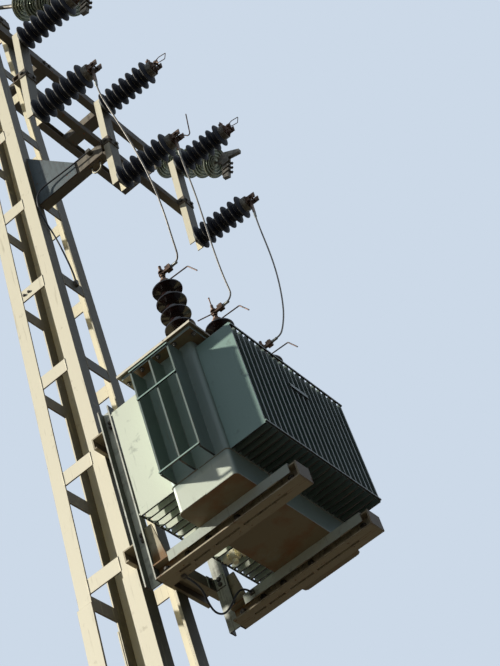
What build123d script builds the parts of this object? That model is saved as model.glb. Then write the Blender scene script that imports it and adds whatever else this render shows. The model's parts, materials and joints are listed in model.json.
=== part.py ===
from build123d import *
from math import pi, tan, radians
import os

os.makedirs("parts", exist_ok=True)

# All sizes are in millimetres. +Z is up, the origin is on the ground at the pole's centre line,
# and the transformer hangs on the pole's +X side with its long sides along Y.

# Everything above the ground is placed from the pole's top, so a taller pole carries it higher.

# Pole: four angle legs that lean in, a lower section and an upper one nested inside it.
POLE_TOP = 11300
TOP_HALF = 145.7805       # half the width over the legs, at the top
LEAN_RATIO = 0.008515     # how far each face leans in per millimetre of height
JOINT_DROP, JOINT_LAP = 5014, 526
LOWER_TOP = POLE_TOP - JOINT_DROP     # where the lower section ends
UPPER_FOOT = LOWER_TOP - JOINT_LAP    # where the upper section starts, inside the lower one
LOWER_LEG, UPPER_LEG, LEG_T = 90, 80, 8
BATTEN_H, BATTEN_PITCH, BATTEN_DROP = 86, 683, 4920
BATTEN_REF = POLE_TOP - BATTEN_DROP   # the batten just above the lower section
BATTEN_CLEAR = 100        # least height from a batten's middle to the pole's end
BASE_PLATE, BASE_PLATE_T = 640, 20
ANCHOR, ANCHOR_R = 285, 14    # anchor bolt holes, from the centre lines

# Transformer
TANK_X = 812              # the tank's centre, from the pole's
TANK_HALF_X, TANK_HALF_Y, TANK_R = 165, 478, 23
FIN_DROP = 5017
FIN_Z0 = POLE_TOP - FIN_DROP  # underside of the fins
TANK_DROP = 155           # the plain tank below the fins
FIN_LONG_H, FIN_END_MORE = 646, 11
FIN_END_H = FIN_LONG_H + FIN_END_MORE
FIN_COUNT, FIN_T, FIN_MARGIN = 21, 9, 28
FIN_PITCH = 2 * (TANK_HALF_Y - FIN_MARGIN) / (FIN_COUNT - 1)
FIN_LONG_DEEP, FIN_END_DEEP = 200, 107
FIN_LONG_TIP, FIN_END_TIP = TANK_HALF_X + FIN_LONG_DEEP, TANK_HALF_Y + FIN_END_DEEP
END_FIN_X = (-132, -19, 94)
COVER_OUT_X, COVER_OUT_Y, COVER_T, COVER_OVER_FINS = 63, 78, 14, 57
COVER_HALF_X, COVER_HALF_Y = TANK_HALF_X + COVER_OUT_X, TANK_HALF_Y + COVER_OUT_Y
COVER_TOP = FIN_END_H + COVER_OVER_FINS
NECK, NECK_IN = 18, 16    # flange under the cover, set in from its edge
STAY = 8                  # square stay bars along the fins' tips

# Support: two beams of channels back to back, carried by two upright channels
BEAM_Y = (-271, 288)
BEAM_H, BEAM_FLANGE, BEAM_GAP, CH_WEB, CH_FL = 80, 45, 13, 6, 8
BEAM_X0, BEAM_X1 = 357, 1179
END_PLATE_T = 5
SKID_W, SKID_T, SKID_H = 126, 5, 53
SKID_X0, SKID_X1 = 450, 1148
POST_W = 70               # upright channel, across X
POST_UP = 850
POST_TOP = FIN_Z0 + POST_UP
CROSS_H, CROSS_T = 69, 8
CROSS_Y0, CROSS_Y1 = -255, 360
CROSS_LIPS = (20, 40)     # the lips under the section, at its back and front
CROSS_LOW, CROSS_HIGH = 76, 796   # their tops, over the fins' underside
CROSS_TOP = (FIN_Z0 + CROSS_LOW, FIN_Z0 + CROSS_HIGH)

# Bushings of the transformer
MV_X, MV_LUG_X, MV_Y = 919, 965, (-425, -10, 405)
MV_SHED_R, MV_CORE_R, MV_SHED_PITCH, MV_SHEDS = 76.5, 36, 92, 4
MV_FOOT_H, MV_FIRST_SHED, MV_PORCELAIN = 36, 130, 450
TERMINAL_UP = 527         # the leads' lugs, over the cover
MV_TERMINAL_Z = FIN_Z0 + COVER_TOP + TERMINAL_UP
LV_X, LV_Y = 665, (-300, -170, -40, 90)
VALVE_UP = 37             # the drain valve's axis, over the tank's bottom

# Crossarm of the line
ARM_DROP = 380            # the crossarm's underside, below the pole's top
ARM_Z = POLE_TOP - ARM_DROP
ARM_H, ARM_FLANGE, ARM_HALF = 80, 50, 1630
TIE_Y = (397, 988)
TIE_ARM_W = 97

# Fuse arm with three leaning bases
FUSE_X, FUSE_Y, FUSE_PITCH = 677, -33, 695
FUSE_DROP = 2120
FUSE_Z = POLE_TOP - FUSE_DROP
FUSE_LEAN = 3.8           # degrees, the tips of the insulators droop
BASE_W, BASE_D, BASE_T, BASE_HALF = 80, 42, 5, 371
FUSE_ARM = 45
INS_OFFSET, INS_LENGTH = 331, 383
INS_SHED_R, INS_CORE_R, INS_SHEDS, INS_PITCH = 76, 46, 7, 52

# Glass strings, two under the crossarm's ends and one on a strap near the pole's top
STRING_END, STRING_EDGE, TAB_H = 40, 5, 40
MIDDLE_Y, MIDDLE_OUT, MIDDLE_UP = -60, 29, 12
MIDDLE_LINK = 285         # the middle string hangs from a long link
STRING_DROP = 45          # degrees below level
DISC_R, DISC_PITCH, DISCS = 110, 122, 5
HEAD_STRAP_DROP, HEAD_STRAP_H, HEAD_STRAP_T = 120, 75, 10

LEAD_D = 9
EARTH_D = 10


def save(name, *solids):
    shape = solids[0] if len(solids) == 1 else Compound(children=list(solids))
    export_step(shape, f"parts/{name}.step")


def block(x0, x1, y0, y1, z0, z1):
    return Pos((x0 + x1) / 2, (y0 + y1) / 2, (z0 + z1) / 2) * Box(x1 - x0, y1 - y0, z1 - z0)


def polygon(points):
    return make_face(Polyline(*points, close=True))


def plate_xz(points, y0, thickness):
    """An upright plate in the X-Z plane from y0 to y0 + thickness."""
    return Pos(0, y0 + thickness, 0) * extrude(Plane.XZ * polygon(points), thickness)


def channel(height, flange, web=CH_WEB, fl=CH_FL):
    """Channel section: the web along local Y at x = 0, the flanges towards +x."""
    h = height / 2
    return polygon([(0, -h), (flange, -h), (flange, -h + fl), (web, -h + fl),
                    (web, h - fl), (flange, h - fl), (flange, h), (0, h)])


def run(section, origin, x_dir, z_dir, length):
    return extrude(Plane(origin=origin, x_dir=x_dir, z_dir=z_dir) * section, length)


def turned(profile, origin, direction):
    """A turned piece: the profile is (radius, distance along the axis)."""
    solid = revolve(Plane.XZ * polygon(profile), Axis.Z)
    return Plane(origin=origin, z_dir=direction) * solid


def rod(p, q, radius):
    v = Vector(*q) - Vector(*p)
    return Plane(origin=p, z_dir=v) * Pos(0, 0, v.length / 2) * Cylinder(radius, v.length)


def bent_rod(points, radius, bend):
    path = FilletPolyline(*points, radius=bend)
    return sweep(Plane(origin=points[0], z_dir=path % 0) * Circle(radius), path)


def half(z, inset=0):
    """Half the pole's width at height z, less an inset."""
    return TOP_HALF + LEAN_RATIO * (POLE_TOP - z) - inset


# The four legs, in two sections
def leg(sx, sy, size, inset, z0, z1):
    """An angle leg with its corner on the pole's outer faces."""
    faces = []
    for z in (z0, z1):
        h = half(z, inset)
        points = [(h, h), (h - size, h), (h - size, h - LEG_T),
                  (h - LEG_T, h - LEG_T), (h - LEG_T, h - size), (h, h - size)]
        faces.append(Plane.XY.offset(z) * polygon([(sx * x, sy * y) for x, y in points]))
    return loft(faces, ruled=True)


corners = [(sx, sy) for sx in (-1, 1) for sy in (-1, 1)]
save("pole_lower_legs", *[leg(*c, LOWER_LEG, 0, BASE_PLATE_T, LOWER_TOP) for c in corners])
save("pole_upper_legs", *[leg(*c, UPPER_LEG, LEG_T, UPPER_FOOT, POLE_TOP) for c in corners])

base_plate = block(-BASE_PLATE / 2, BASE_PLATE / 2, -BASE_PLATE / 2, BASE_PLATE / 2, 0, BASE_PLATE_T)
for sx, sy in corners:
    base_plate -= rod((sx * ANCHOR, sy * ANCHOR, -1), (sx * ANCHOR, sy * ANCHOR, BASE_PLATE_T + 1), ANCHOR_R)
save("pole_base_plate", base_plate)


def batten(turn, number):
    """A flat batten welded flush between two legs, on the face turned by turn quarters."""
    lower = number < 0
    inset, size = (0, LOWER_LEG) if lower else (LEG_T, UPPER_LEG)
    middle = BATTEN_REF + BATTEN_PITCH * number
    faces = []
    for z in (middle - BATTEN_H / 2, middle + BATTEN_H / 2):
        h = half(z, inset)
        a = h - size
        faces.append(Plane.XY.offset(z) * polygon([(-a, -h), (a, -h), (a, -h + LEG_T), (-a, -h + LEG_T)]))
    return Rot(0, 0, 90 * turn) * loft(faces, ruled=True)


battens_below = int((BATTEN_REF - BATTEN_CLEAR) // BATTEN_PITCH)
battens_above = int((POLE_TOP - BATTEN_CLEAR - BATTEN_REF) // BATTEN_PITCH)
levels = range(-battens_below, battens_above + 1)
save("pole_battens_front_back", *[batten(turn, n) for turn in (1, 3) for n in levels])
save("pole_battens_sides", *[batten(turn, n) for turn in (0, 2) for n in levels])

# The cross-members on the pole's +X face and the two upright channels on their ends
post_x0 = BEAM_X0 - POST_W
beam_top = FIN_Z0 - TANK_DROP - SKID_T
beam_bottom = beam_top - BEAM_H


def lipped(width):
    """Section of a cross-member, open below between its two lips; local x down, local y back."""
    w, t, h = width, CROSS_T, CROSS_H
    back, front = CROSS_LIPS
    return polygon([(0, 0), (0, w), (h, w), (h, w - back), (h - t, w - back), (h - t, w - t), (t, w - t),
                    (t, t), (h - t, t), (h - t, front), (h, front), (h, 0)])


cross_members = []
for top in CROSS_TOP:
    width = post_x0 - half(top - CROSS_H, LEG_T)
    cross_members.append(run(lipped(width), (post_x0, CROSS_Y0, top), (0, 0, -1), (0, 1, 0), CROSS_Y1 - CROSS_Y0))
save("cross_members", *cross_members)

post_back = [BEAM_Y[0] - BEAM_GAP / 2, BEAM_Y[1] + BEAM_GAP / 2]
save("uprights", *[run(channel(POST_W, BEAM_FLANGE), (BEAM_X0 - POST_W / 2, y, beam_bottom),
                       (0, out, 0), (0, 0, 1), POST_TOP - beam_bottom)
                   for y, out in zip(post_back, (-1, 1))])

# Angle cleats join each upright's back to the side of each cross-member
CLEAT, CLEAT_T = 60, 6
cleats = []
for top in CROSS_TOP:
    for y, out in zip(post_back, (-1, 1)):
        inner = y - out * CLEAT_T
        a = block(post_x0, post_x0 + CLEAT, *sorted((y, inner)), top - CROSS_H, top)
        b = block(post_x0, post_x0 + CLEAT_T, *sorted((y, y - out * CLEAT)), top - CROSS_H, top)
        cleats.append(a + b)
save("upright_cleats", *cleats)

# The two beams, each of two channels back to back, with packings and an end plate
PACKINGS = ((BEAM_X0, 451), (516, 540), (632, 666), (803, 827), (1070, BEAM_X1))
save("beams", *[run(channel(BEAM_H, BEAM_FLANGE), (BEAM_X0, y + s * BEAM_GAP / 2, (beam_top + beam_bottom) / 2),
                    (0, s, 0), (1, 0, 0), BEAM_X1 - BEAM_X0) for y in BEAM_Y for s in (-1, 1)])
beam_half = BEAM_GAP / 2 + BEAM_FLANGE
save("beam_packings", *[block(x0, x1, y - BEAM_GAP / 2, y + BEAM_GAP / 2, beam_bottom, beam_top - 10)
                        for y in BEAM_Y for x0, x1 in PACKINGS])
save("beam_end_plates", *[block(BEAM_X1, BEAM_X1 + END_PLATE_T, y - beam_half, y + beam_half,
                                beam_bottom, beam_top + SKID_T) for y in BEAM_Y])

# Knee plates between each upright and the beam's outer channel
GUSSET_T, GUSSET_UP, GUSSET_TOP, GUSSET_OUT = 8, 226, 38, 74
outline = [(BEAM_X0, beam_top), (BEAM_X0 + GUSSET_OUT, beam_top), (BEAM_X0 + GUSSET_OUT, beam_top + 20),
           (BEAM_X0 + GUSSET_TOP, beam_top + GUSSET_UP), (BEAM_X0, beam_top + GUSSET_UP)]
save("knee_plates", *[plate_xz(outline, y + out * (BEAM_GAP + BEAM_FLANGE) / 2 - GUSSET_T / 2, GUSSET_T)
                      for y, out in zip(BEAM_Y, (-1, 1))])

# Skids under the tank, inverted channels over the beams
save("skids", *[run(channel(SKID_W, SKID_H, SKID_T, SKID_T), (SKID_X0, y, beam_top + SKID_T),
                    (0, 0, -1), (1, 0, 0), SKID_X1 - SKID_X0) for y in BEAM_Y])

# Tank, cover and cooling fins
tank_bottom = FIN_Z0 - TANK_DROP
cover_z0 = FIN_Z0 + COVER_TOP - COVER_T
cover_top = cover_z0 + COVER_T
FLANGE_X, FLANGE_Y = COVER_HALF_X - NECK_IN, COVER_HALF_Y - NECK_IN
body = block(TANK_X - TANK_HALF_X, TANK_X + TANK_HALF_X, -TANK_HALF_Y, TANK_HALF_Y, tank_bottom, cover_z0)
body = fillet(body.edges().filter_by(Axis.Z), TANK_R)
body += block(TANK_X - FLANGE_X, TANK_X + FLANGE_X, -FLANGE_Y, FLANGE_Y, cover_z0 - NECK, cover_z0)
save("tank_body", body)
save("tank_cover", block(TANK_X - COVER_HALF_X, TANK_X + COVER_HALF_X, -COVER_HALF_Y, COVER_HALF_Y,
                         cover_z0, cover_top))

fin_half = FIN_T / 2
fin_y = [FIN_PITCH * (n - (FIN_COUNT - 1) / 2) for n in range(FIN_COUNT)]
long_fins, end_fins = [], []
for sign in (-1, 1):
    span = sorted((TANK_X + sign * TANK_HALF_X, TANK_X + sign * FIN_LONG_TIP))
    long_fins += [block(*span, y - fin_half, y + fin_half, FIN_Z0, FIN_Z0 + FIN_LONG_H) for y in fin_y]
    span = sorted((sign * TANK_HALF_Y, sign * FIN_END_TIP))
    end_fins += [block(TANK_X + x - fin_half, TANK_X + x + fin_half, *span, FIN_Z0, FIN_Z0 + FIN_END_H)
                 for x in END_FIN_X]
save("fins_long_sides", *long_fins)
save("fins_ends", *end_fins)

END_STAY_Z = 460          # the stay part way up the end fins
NAME_BAR = (-54, 90, 465, 487, 6)
stays = []
for sx in (-1, 1):
    span = sorted((TANK_X + sx * FIN_LONG_TIP, TANK_X + sx * (FIN_LONG_TIP + STAY)))
    for z in (FIN_Z0 + STAY, FIN_Z0 + FIN_LONG_H - 2 * STAY):
        stays.append(block(*span, fin_y[0] - fin_half, fin_y[-1] + fin_half, z, z + STAY))
for sy in (-1, 1):
    span = sorted((sy * FIN_END_TIP, sy * (FIN_END_TIP + STAY)))
    for z in (FIN_Z0 + STAY, FIN_Z0 + END_STAY_Z, FIN_Z0 + FIN_END_H - 2 * STAY):
        stays.append(block(TANK_X + END_FIN_X[0] - fin_half, TANK_X + END_FIN_X[-1] + fin_half,
                           *span, z, z + STAY))
y0, y1, up0, up1, deep = NAME_BAR
stays.append(block(TANK_X + FIN_LONG_TIP, TANK_X + FIN_LONG_TIP + deep, y0, y1, FIN_Z0 + up0, FIN_Z0 + up1))
save("fin_stays", *stays)

# Bushings of the medium voltage side: porcelain, foot ring, terminal and arcing horn
shed = [(MV_CORE_R, -13), (MV_SHED_R - 2, -7), (MV_SHED_R, -3), (MV_SHED_R - 3, 1), (MV_CORE_R, 9)]
profile = [(0, 0), (MV_CORE_R + 8, 0), (MV_CORE_R + 8, 30), (MV_CORE_R, 60)]
for n in range(MV_SHEDS):
    profile += [(r, MV_FIRST_SHED - MV_FOOT_H + MV_SHED_PITCH * n + z) for r, z in shed]
profile += [(MV_CORE_R - 6, MV_PORCELAIN - MV_FOOT_H), (0, MV_PORCELAIN - MV_FOOT_H)]
ring = [(0, 0), (62, 0), (62, 14), (52, 20), (52, MV_FOOT_H), (0, MV_FOOT_H)]
CAP_H = 22
MV_LUG = 30
MV_STUD_TOP = 130
cap = [(0, 0), (27, 0), (27, CAP_H - 6), (20, CAP_H), (8, CAP_H), (8, MV_STUD_TOP), (0, MV_STUD_TOP)]
porcelain_top = cover_top + MV_PORCELAIN
lug_z0 = MV_TERMINAL_Z - MV_LUG / 2
save("mv_bushing_feet", *[turned(ring, (MV_X, y, cover_top), (0, 0, 1)) for y in MV_Y])
save("mv_bushings", *[turned(profile, (MV_X, y, cover_top + MV_FOOT_H), (0, 0, 1)) for y in MV_Y])
save("mv_terminals", *[turned(cap, (MV_X, y, porcelain_top), (0, 0, 1))
                       + block(MV_X - 14, MV_LUG_X + 15, y - 8, y + 8, lug_z0 + 7, lug_z0 + MV_LUG - 7)
                       + block(MV_LUG_X - 15, MV_LUG_X + 15, y - 14, y + 14, lug_z0, lug_z0 + MV_LUG)
                       for y in MV_Y])
horn_x, horn_z = MV_X + 27.35, porcelain_top + 8
save("mv_arcing_horns", *[bent_rod([(horn_x, y, horn_z), (horn_x + 118, y, horn_z - 6),
                                    (horn_x + 158, y, horn_z - 74)], 3.5, 14) for y in MV_Y])

# Low voltage bushings on the pole's side of the cover
lv_shed = [(20, -8), (31, -4), (31, 0), (20, 6)]
lv = [(0, 0), (28, 0), (28, 20), (20, 26)]
for n in range(3):
    lv += [(r, 52 + 34 * n + z) for r, z in lv_shed]
lv += [(18, 146), (0, 146)]
LV_STUD_R = 10
lv_stud = [(0, 0), (16, 0), (16, 12), (LV_STUD_R, 12), (LV_STUD_R, 62), (0, 62)]
save("lv_bushings", *[turned(lv, (LV_X, y, cover_top), (0, 0, 1)) for y in LV_Y])
save("lv_studs", *[turned(lv_stud, (LV_X, y, cover_top + 146), (0, 0, 1)) for y in LV_Y])

# Oil filler, lifting lugs and drain valve
FILLER_IN = 76            # from the cover's end
filler = [(0, 0), (32, 0), (32, 10), (22, 10), (22, 95), (30, 95), (30, 120), (0, 120)]
save("oil_filler", turned(filler, (TANK_X - 20, COVER_HALF_Y - FILLER_IN, cover_top), (0, 0, 1)))
lug = [(-45, 0), (45, 0), (45, 25), (18, 70), (-18, 70), (-45, 25)]
LUG_IN, LUG_T, EYE_UP, EYE_R = 70, 12, 42, 16
LUG_Y = (400, 215)        # from the middle, on the pole's side and on the other
lugs = []
for sx, lug_y in zip((-1, 1), LUG_Y):
    x = TANK_X + sx * (COVER_HALF_X - LUG_IN)
    for y in (-lug_y, lug_y):
        eye = plate_xz([(x + a, cover_top + b) for a, b in lug], y - LUG_T / 2, LUG_T)
        lugs.append(eye - rod((x, y - LUG_T, cover_top + EYE_UP), (x, y + LUG_T, cover_top + EYE_UP), EYE_R))
save("lifting_lugs", *lugs)
valve = [(0, 0), (34, 0), (34, 12), (17, 12), (17, 34), (27, 34), (27, 62), (15, 62),
         (15, 80), (22, 80), (22, 104), (0, 104)]
save("drain_valve", turned(valve, (TANK_X - TANK_HALF_X, 0, tank_bottom + VALVE_UP), (-1, 0, 0)))

# Crossarm of the line: two channels on the pole with ties between them
arm_x = half(ARM_Z, LEG_T)
arm_mid = ARM_Z + ARM_H / 2
save("crossarm_channels", *[run(channel(ARM_H, ARM_FLANGE), (sx * (arm_x + ARM_FLANGE), -ARM_HALF, arm_mid),
                                (-sx, 0, 0), (0, 1, 0), 2 * ARM_HALF) for sx in (1, -1)])
tie_half = arm_x + ARM_FLANGE - CH_WEB
ties = []
for sy in (-1, 1):
    for y in TIE_Y:
        ties.append(run(channel(TIE_ARM_W, ARM_H - 2 * CH_FL), (-tie_half, sy * y, ARM_Z + CH_FL),
                        (0, 0, 1), (1, 0, 0), 2 * tie_half))
save("crossarm_ties", *ties)
save("crossarm_ends", *[block(-arm_x - ARM_FLANGE, arm_x + ARM_FLANGE,
                              *sorted((sy * ARM_HALF, sy * (ARM_HALF + 8))), ARM_Z, ARM_Z + ARM_H)
                        for sy in (-1, 1)])
head_z = POLE_TOP - HEAD_STRAP_DROP
head_x = half(head_z, LEG_T)
head_face = head_x + HEAD_STRAP_T
save("head_strap", block(head_x, head_face, -head_x, head_x, head_z, head_z + HEAD_STRAP_H))

# Fuse arm: a square tube behind three channel bases, all leaning by the same angle
def leaning(solid, number=1):
    return Pos(FUSE_X, FUSE_Y + FUSE_PITCH * (number - 1), FUSE_Z) * Rot(0, FUSE_LEAN, 0) * solid


base_back, base_front = -BASE_D / 2, BASE_D / 2
reach = FUSE_PITCH + BASE_W / 2 + 5
tube = block(base_back - FUSE_ARM, base_back, -reach, reach, -FUSE_ARM / 2, FUSE_ARM / 2)
tube -= block(base_back - FUSE_ARM + 5, base_back - 5, -reach, reach, 5 - FUSE_ARM / 2, FUSE_ARM / 2 - 5)
save("fuse_arm", leaning(tube))

base = run(channel(BASE_W, BASE_D, BASE_T, BASE_T), (base_front, 0, -BASE_HALF), (-1, 0, 0), (0, 0, 1),
           2 * BASE_HALF)
side, STRAP_T, STRAP_H = BASE_W / 2, 5, 52
strap = polygon([(base_back, -side - STRAP_T), (base_front + STRAP_T, -side - STRAP_T),
                 (base_front + STRAP_T, side + STRAP_T), (base_back, side + STRAP_T),
                 (base_back, side), (base_front, side), (base_front, -side), (base_back, -side)])
strap = Pos(0, 0, -STRAP_H / 2) * extrude(strap, STRAP_H)

FOOT_H, CAP_LEN = 10, 30
ins_foot = [(0, 0), (INS_CORE_R + 2, 0), (INS_CORE_R + 2, FOOT_H), (0, FOOT_H)]
ins_end = INS_LENGTH - CAP_LEN
ins = [(0, FOOT_H), (INS_CORE_R, FOOT_H)]
for n in range(INS_SHEDS):
    at = 27 + INS_PITCH * n
    ins += [(INS_CORE_R, at - 3), (INS_SHED_R - 10, at - 9), (INS_SHED_R - 2, at - 8), (INS_SHED_R, at - 4),
            (INS_SHED_R - 3, at), (INS_CORE_R, at + 13)]
ins += [(INS_CORE_R, ins_end), (0, ins_end)]
ins_cap = [(0, ins_end), (INS_CORE_R - 1, ins_end), (INS_CORE_R - 1, INS_LENGTH), (0, INS_LENGTH)]


def on_base(profile, sign):
    return turned(profile, (base_front, 0, sign * INS_OFFSET), (1, 0, 0))


tip = base_front + INS_LENGTH
JAW_X, JAW_T = 44, 7
upper_jaw = block(tip, tip + 6, -30, 30, INS_OFFSET - 30, INS_OFFSET + 30)
for y in (-22, 15):
    upper_jaw += block(tip + 6, tip + 6 + JAW_X, y, y + JAW_T, INS_OFFSET - 22, INS_OFFSET + 16)
lug_end = -INS_OFFSET - 105
lower_jaw = block(tip, tip + 6, -30, 30, -INS_OFFSET - 30, -INS_OFFSET + 30)
for y in (-24, 17):
    lower_jaw += block(tip + 6, tip + 6 + JAW_X + 12, y, y + JAW_T, -INS_OFFSET - 12, -INS_OFFSET + 24)
lower_jaw += block(tip + 6, tip + 22, -12, 12, -INS_OFFSET - 20, -INS_OFFSET + 20)
lower_jaw += block(tip + 14, tip + 22, -12, 12, lug_end, -INS_OFFSET)

three = range(3)
save("fuse_bases", *[leaning(base, n) for n in three])
save("fuse_base_straps", *[leaning(strap, n) for n in three])
save("fuse_insulator_feet", *[leaning(on_base(ins_foot, s), n) for n in three for s in (1, -1)])
save("fuse_insulators", *[leaning(on_base(ins, s), n) for n in three for s in (1, -1)])
save("fuse_insulator_caps", *[leaning(on_base(ins_cap, s), n) for n in three for s in (1, -1)])
save("fuse_contacts", *[leaning(jaw, n) for n in three for jaw in (upper_jaw, lower_jaw)])
horn = bent_rod([(tip + 22.2, 0, -INS_OFFSET), (tip + 55, 0, -INS_OFFSET), (tip + 110, 0, -INS_OFFSET - 66),
                 (tip + 121, 0, 118 - INS_OFFSET)], 3.5, 12)
save("fuse_arc_horn", leaning(horn))

# Bracket that carries the fuse arm on the pole's +X face: a trough of plates with one knee plate
tube_low = [leaning(Pos(x, 0, -FUSE_ARM / 2) * Box(1, 1, 1)).center() for x in (base_back - FUSE_ARM, base_back)]
low_left, low_right = [(c.X, c.Z) for c in tube_low]
BRACKET_Y0, BRACKET_Y1, BRACKET_T, BRACKET_DROP = -102, -38, 6, 114
BRACKET_Z = FUSE_Z - BRACKET_DROP
KNEE_X, KNEE_DROP, KNEE_UP, KNEE_T = 455, 16, 330, 8
KNEE_Z, KNEE_TOP = FUSE_Z - KNEE_DROP, FUSE_Z + KNEE_UP
bracket_end = low_right[0] - (low_right[1] - BRACKET_Z) * tan(radians(FUSE_LEAN)) - 1
arm_line = [(half(BRACKET_Z, LEG_T), BRACKET_Z), (bracket_end, BRACKET_Z), low_right, low_left,
            (half(low_left[1], LEG_T), low_left[1])]
knee_line = [(half(BRACKET_Z, LEG_T), BRACKET_Z), (KNEE_X, BRACKET_Z), (KNEE_X, KNEE_Z),
             (half(KNEE_TOP, LEG_T), KNEE_TOP)]
trough = block(arm_line[0][0], bracket_end, BRACKET_Y0, BRACKET_Y1, BRACKET_Z, BRACKET_Z + BRACKET_T)
for y0 in (BRACKET_Y0, BRACKET_Y1 - BRACKET_T):
    trough += plate_xz(arm_line, y0, BRACKET_T)
save("bracket_arm", trough)
save("bracket_knee", plate_xz(knee_line, BRACKET_Y0 - KNEE_T, KNEE_T))
HOOK_X, HOOK_W, HOOK_DROP, HOOK_BAR_T = 536, 62, 58, 6
hook_y = (BRACKET_Y0 + BRACKET_Y1) / 2
bar_z = BRACKET_Z - HOOK_BAR_T
save("hook_bar", block(HOOK_X - 15, HOOK_X + HOOK_W + 15, hook_y - 20, hook_y + 20, bar_z, BRACKET_Z))
save("hook", bent_rod([(HOOK_X, hook_y, bar_z), (HOOK_X, hook_y, bar_z - HOOK_DROP),
                       (HOOK_X + HOOK_W, hook_y, bar_z - HOOK_DROP), (HOOK_X + HOOK_W, hook_y, bar_z)], 5, 28))

# Glass strings, dead-end clamps and the tabs that hold them
slope = radians(STRING_DROP)
CAP_LONG, GLASS_T = 45, 26
glass = [(0, 0), (38, 0), (DISC_R - 6, 12), (DISC_R, 18), (DISC_R - 2, 26), (DISC_R - 8, 20)]
for r in (90, 69, 48):
    glass += [(r + 4, 19), (r + 3, 34), (r - 3, 34), (r - 4, 19)]
glass += [(30, 19), (30, GLASS_T), (0, GLASS_T)]
first_cap = [(0, 0), (18, 0), (30, 12), (30, CAP_LONG), (0, CAP_LONG)]
pin = DISC_PITCH - GLASS_T - CAP_LONG
link = [(0, 0), (9, 0), (9, pin), (18, pin), (30, pin + 12), (30, pin + CAP_LONG), (0, pin + CAP_LONG)]
PIN_END = 35
last_pin = [(0, 0), (9, 0), (9, PIN_END), (0, PIN_END)]
direction = (1, 0, -tan(slope))
step = Vector(*direction).normalized()
string_long = CAP_LONG + DISC_PITCH * (DISCS - 1) + GLASS_T + PIN_END
clamp_line = [(-9.9, -9.9), (34, -35), (-8, -180), (36, -196), (89, -35),
              (172, -62), (182, -36), (59, 43), (9.9, 9.9)]
outer_x = arm_x + ARM_FLANGE - STRING_EDGE
outer_y = ARM_HALF - STRING_END
strings = [(outer_x, -outer_y, ARM_Z - TAB_H, 0, 4 - TAB_H),
           (head_face + MIDDLE_OUT, MIDDLE_Y, head_z + MIDDLE_UP, MIDDLE_LINK, -MIDDLE_OUT),
           (outer_x, outer_y, ARM_Z - TAB_H, 0, 4 - TAB_H)]
discs, fittings, clamps, tabs = [], [], [], []
for x, y, z, extra, back in strings:
    start = Vector(x, y, z)
    string_end = (string_long + extra) * step.X
    lead_in = [(0, 0), (14, 0), (14, extra)] if extra else [(0, 0)]
    fittings.append(turned(lead_in + [(r, extra + along) for r, along in first_cap[1:]], start, direction))
    for n in range(DISCS):
        at = extra + CAP_LONG + DISC_PITCH * n
        discs.append(turned(glass, start + step * at, direction))
        piece = link if n < DISCS - 1 else last_pin
        fittings.append(turned(piece, start + step * (at + GLASS_T), direction))
    clamps.append(plate_xz([(x + string_end + a, z - string_end + b) for a, b in clamp_line], y - 15, 30))
    tab_line = [(back, TAB_H), (4, TAB_H), (8.5, 8.5), (-8.5, -8.5), (back, 10)]
    tabs.append(plate_xz([(x + a, z + b) for a, b in tab_line], y - 7, 14))
save("glass_discs", *discs)
save("string_fittings", *fittings)
save("string_clamps", *clamps)
save("string_tabs", *tabs)


# Free cables: straight runs joined by arcs as large as the runs allow. Each route's heights are
# given over the terminals' height, so the routes go up and down with the transformer.
def cord(name, route, diameter):
    points = [Vector(x, y, MV_TERMINAL_Z + up) for x, y, up in route]
    radii = []
    for a, b, c in zip(points, points[1:], points[2:]):
        turn = (b - a).get_angle(c - b)
        shorter = min((b - a).length, (c - b).length)
        radii.append(0.45 * shorter / tan(radians(turn) / 2))
    path = FilletPolyline(*points, radius=radii)
    tube = sweep(Plane(origin=points[0], z_dir=points[1] - points[0]) * Circle(diameter / 2), path)
    runs = [(b - a).length for a, b in zip(points, points[1:])]
    share = tube.volume / (path.length * pi * diameter ** 2 / 4)
    print(name, "length", round(path.length), "smallest radius", round(min(radii)),
          "runs", round(min(runs)), "to", round(max(runs)), "volume share", round(share, 4))
    save(name, tube)


LEADS = {
    1: [(1069.2, -728, 1192.9), (1065.2, -728, 1133), (1072, -716, 1030), (1085, -692, 907),
        (1097, -666, 783), (1106, -638, 661), (1111, -609, 538), (1110, -579, 415),
        (1102, -551, 293), (1088, -522, 177), (1071, -494, 104), (1056, -466, 51),
        (1042, -440, 16), (1015, -425, 0), (980, -425, 0)],
    2: [(1069.2, -33, 1192.9), (1065.2, -33, 1133), (1065, -32, 1028), (1066, -30, 902),
        (1063, -27, 775), (1057, -24, 649), (1051, -21, 522), (1045, -18, 396),
        (1041, -15, 279), (1040, -12, 182), (1042, -11, 114), (1044, -10, 66),
        (1043.9, -10, 36.9), (1030.4, -10, 13.5), (1007, -10, 0), (980, -10, 0)],
    3: [(1069.2, 662, 1192.9), (1065.2, 662, 1133), (1068, 650, 1030), (1076, 629, 907),
        (1084, 606, 782), (1090, 581, 659), (1093, 554, 534), (1092, 526, 411),
        (1087, 497, 289), (1078, 470, 184), (1067, 446, 109), (1056, 427, 54),
        (1042, 415, 17), (1015, 405, 0), (980, 405, 0)],
}
for number, points in LEADS.items():
    cord(f"drop_lead_{number}", points, LEAD_D)
EARTH_ROUTE = [(505, 213, -1419), (505, 158, -1419), (480, 118, -1452), (448, 102, -1506), (416, 70, -1552),
               (404, 12, -1560), (416, -44, -1536), (438, -96, -1504), (446, -158, -1487), (446, -222, -1487)]
cord("earth_cable", EARTH_ROUTE, EARTH_D)
ARM_CABLE_D = 10
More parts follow.
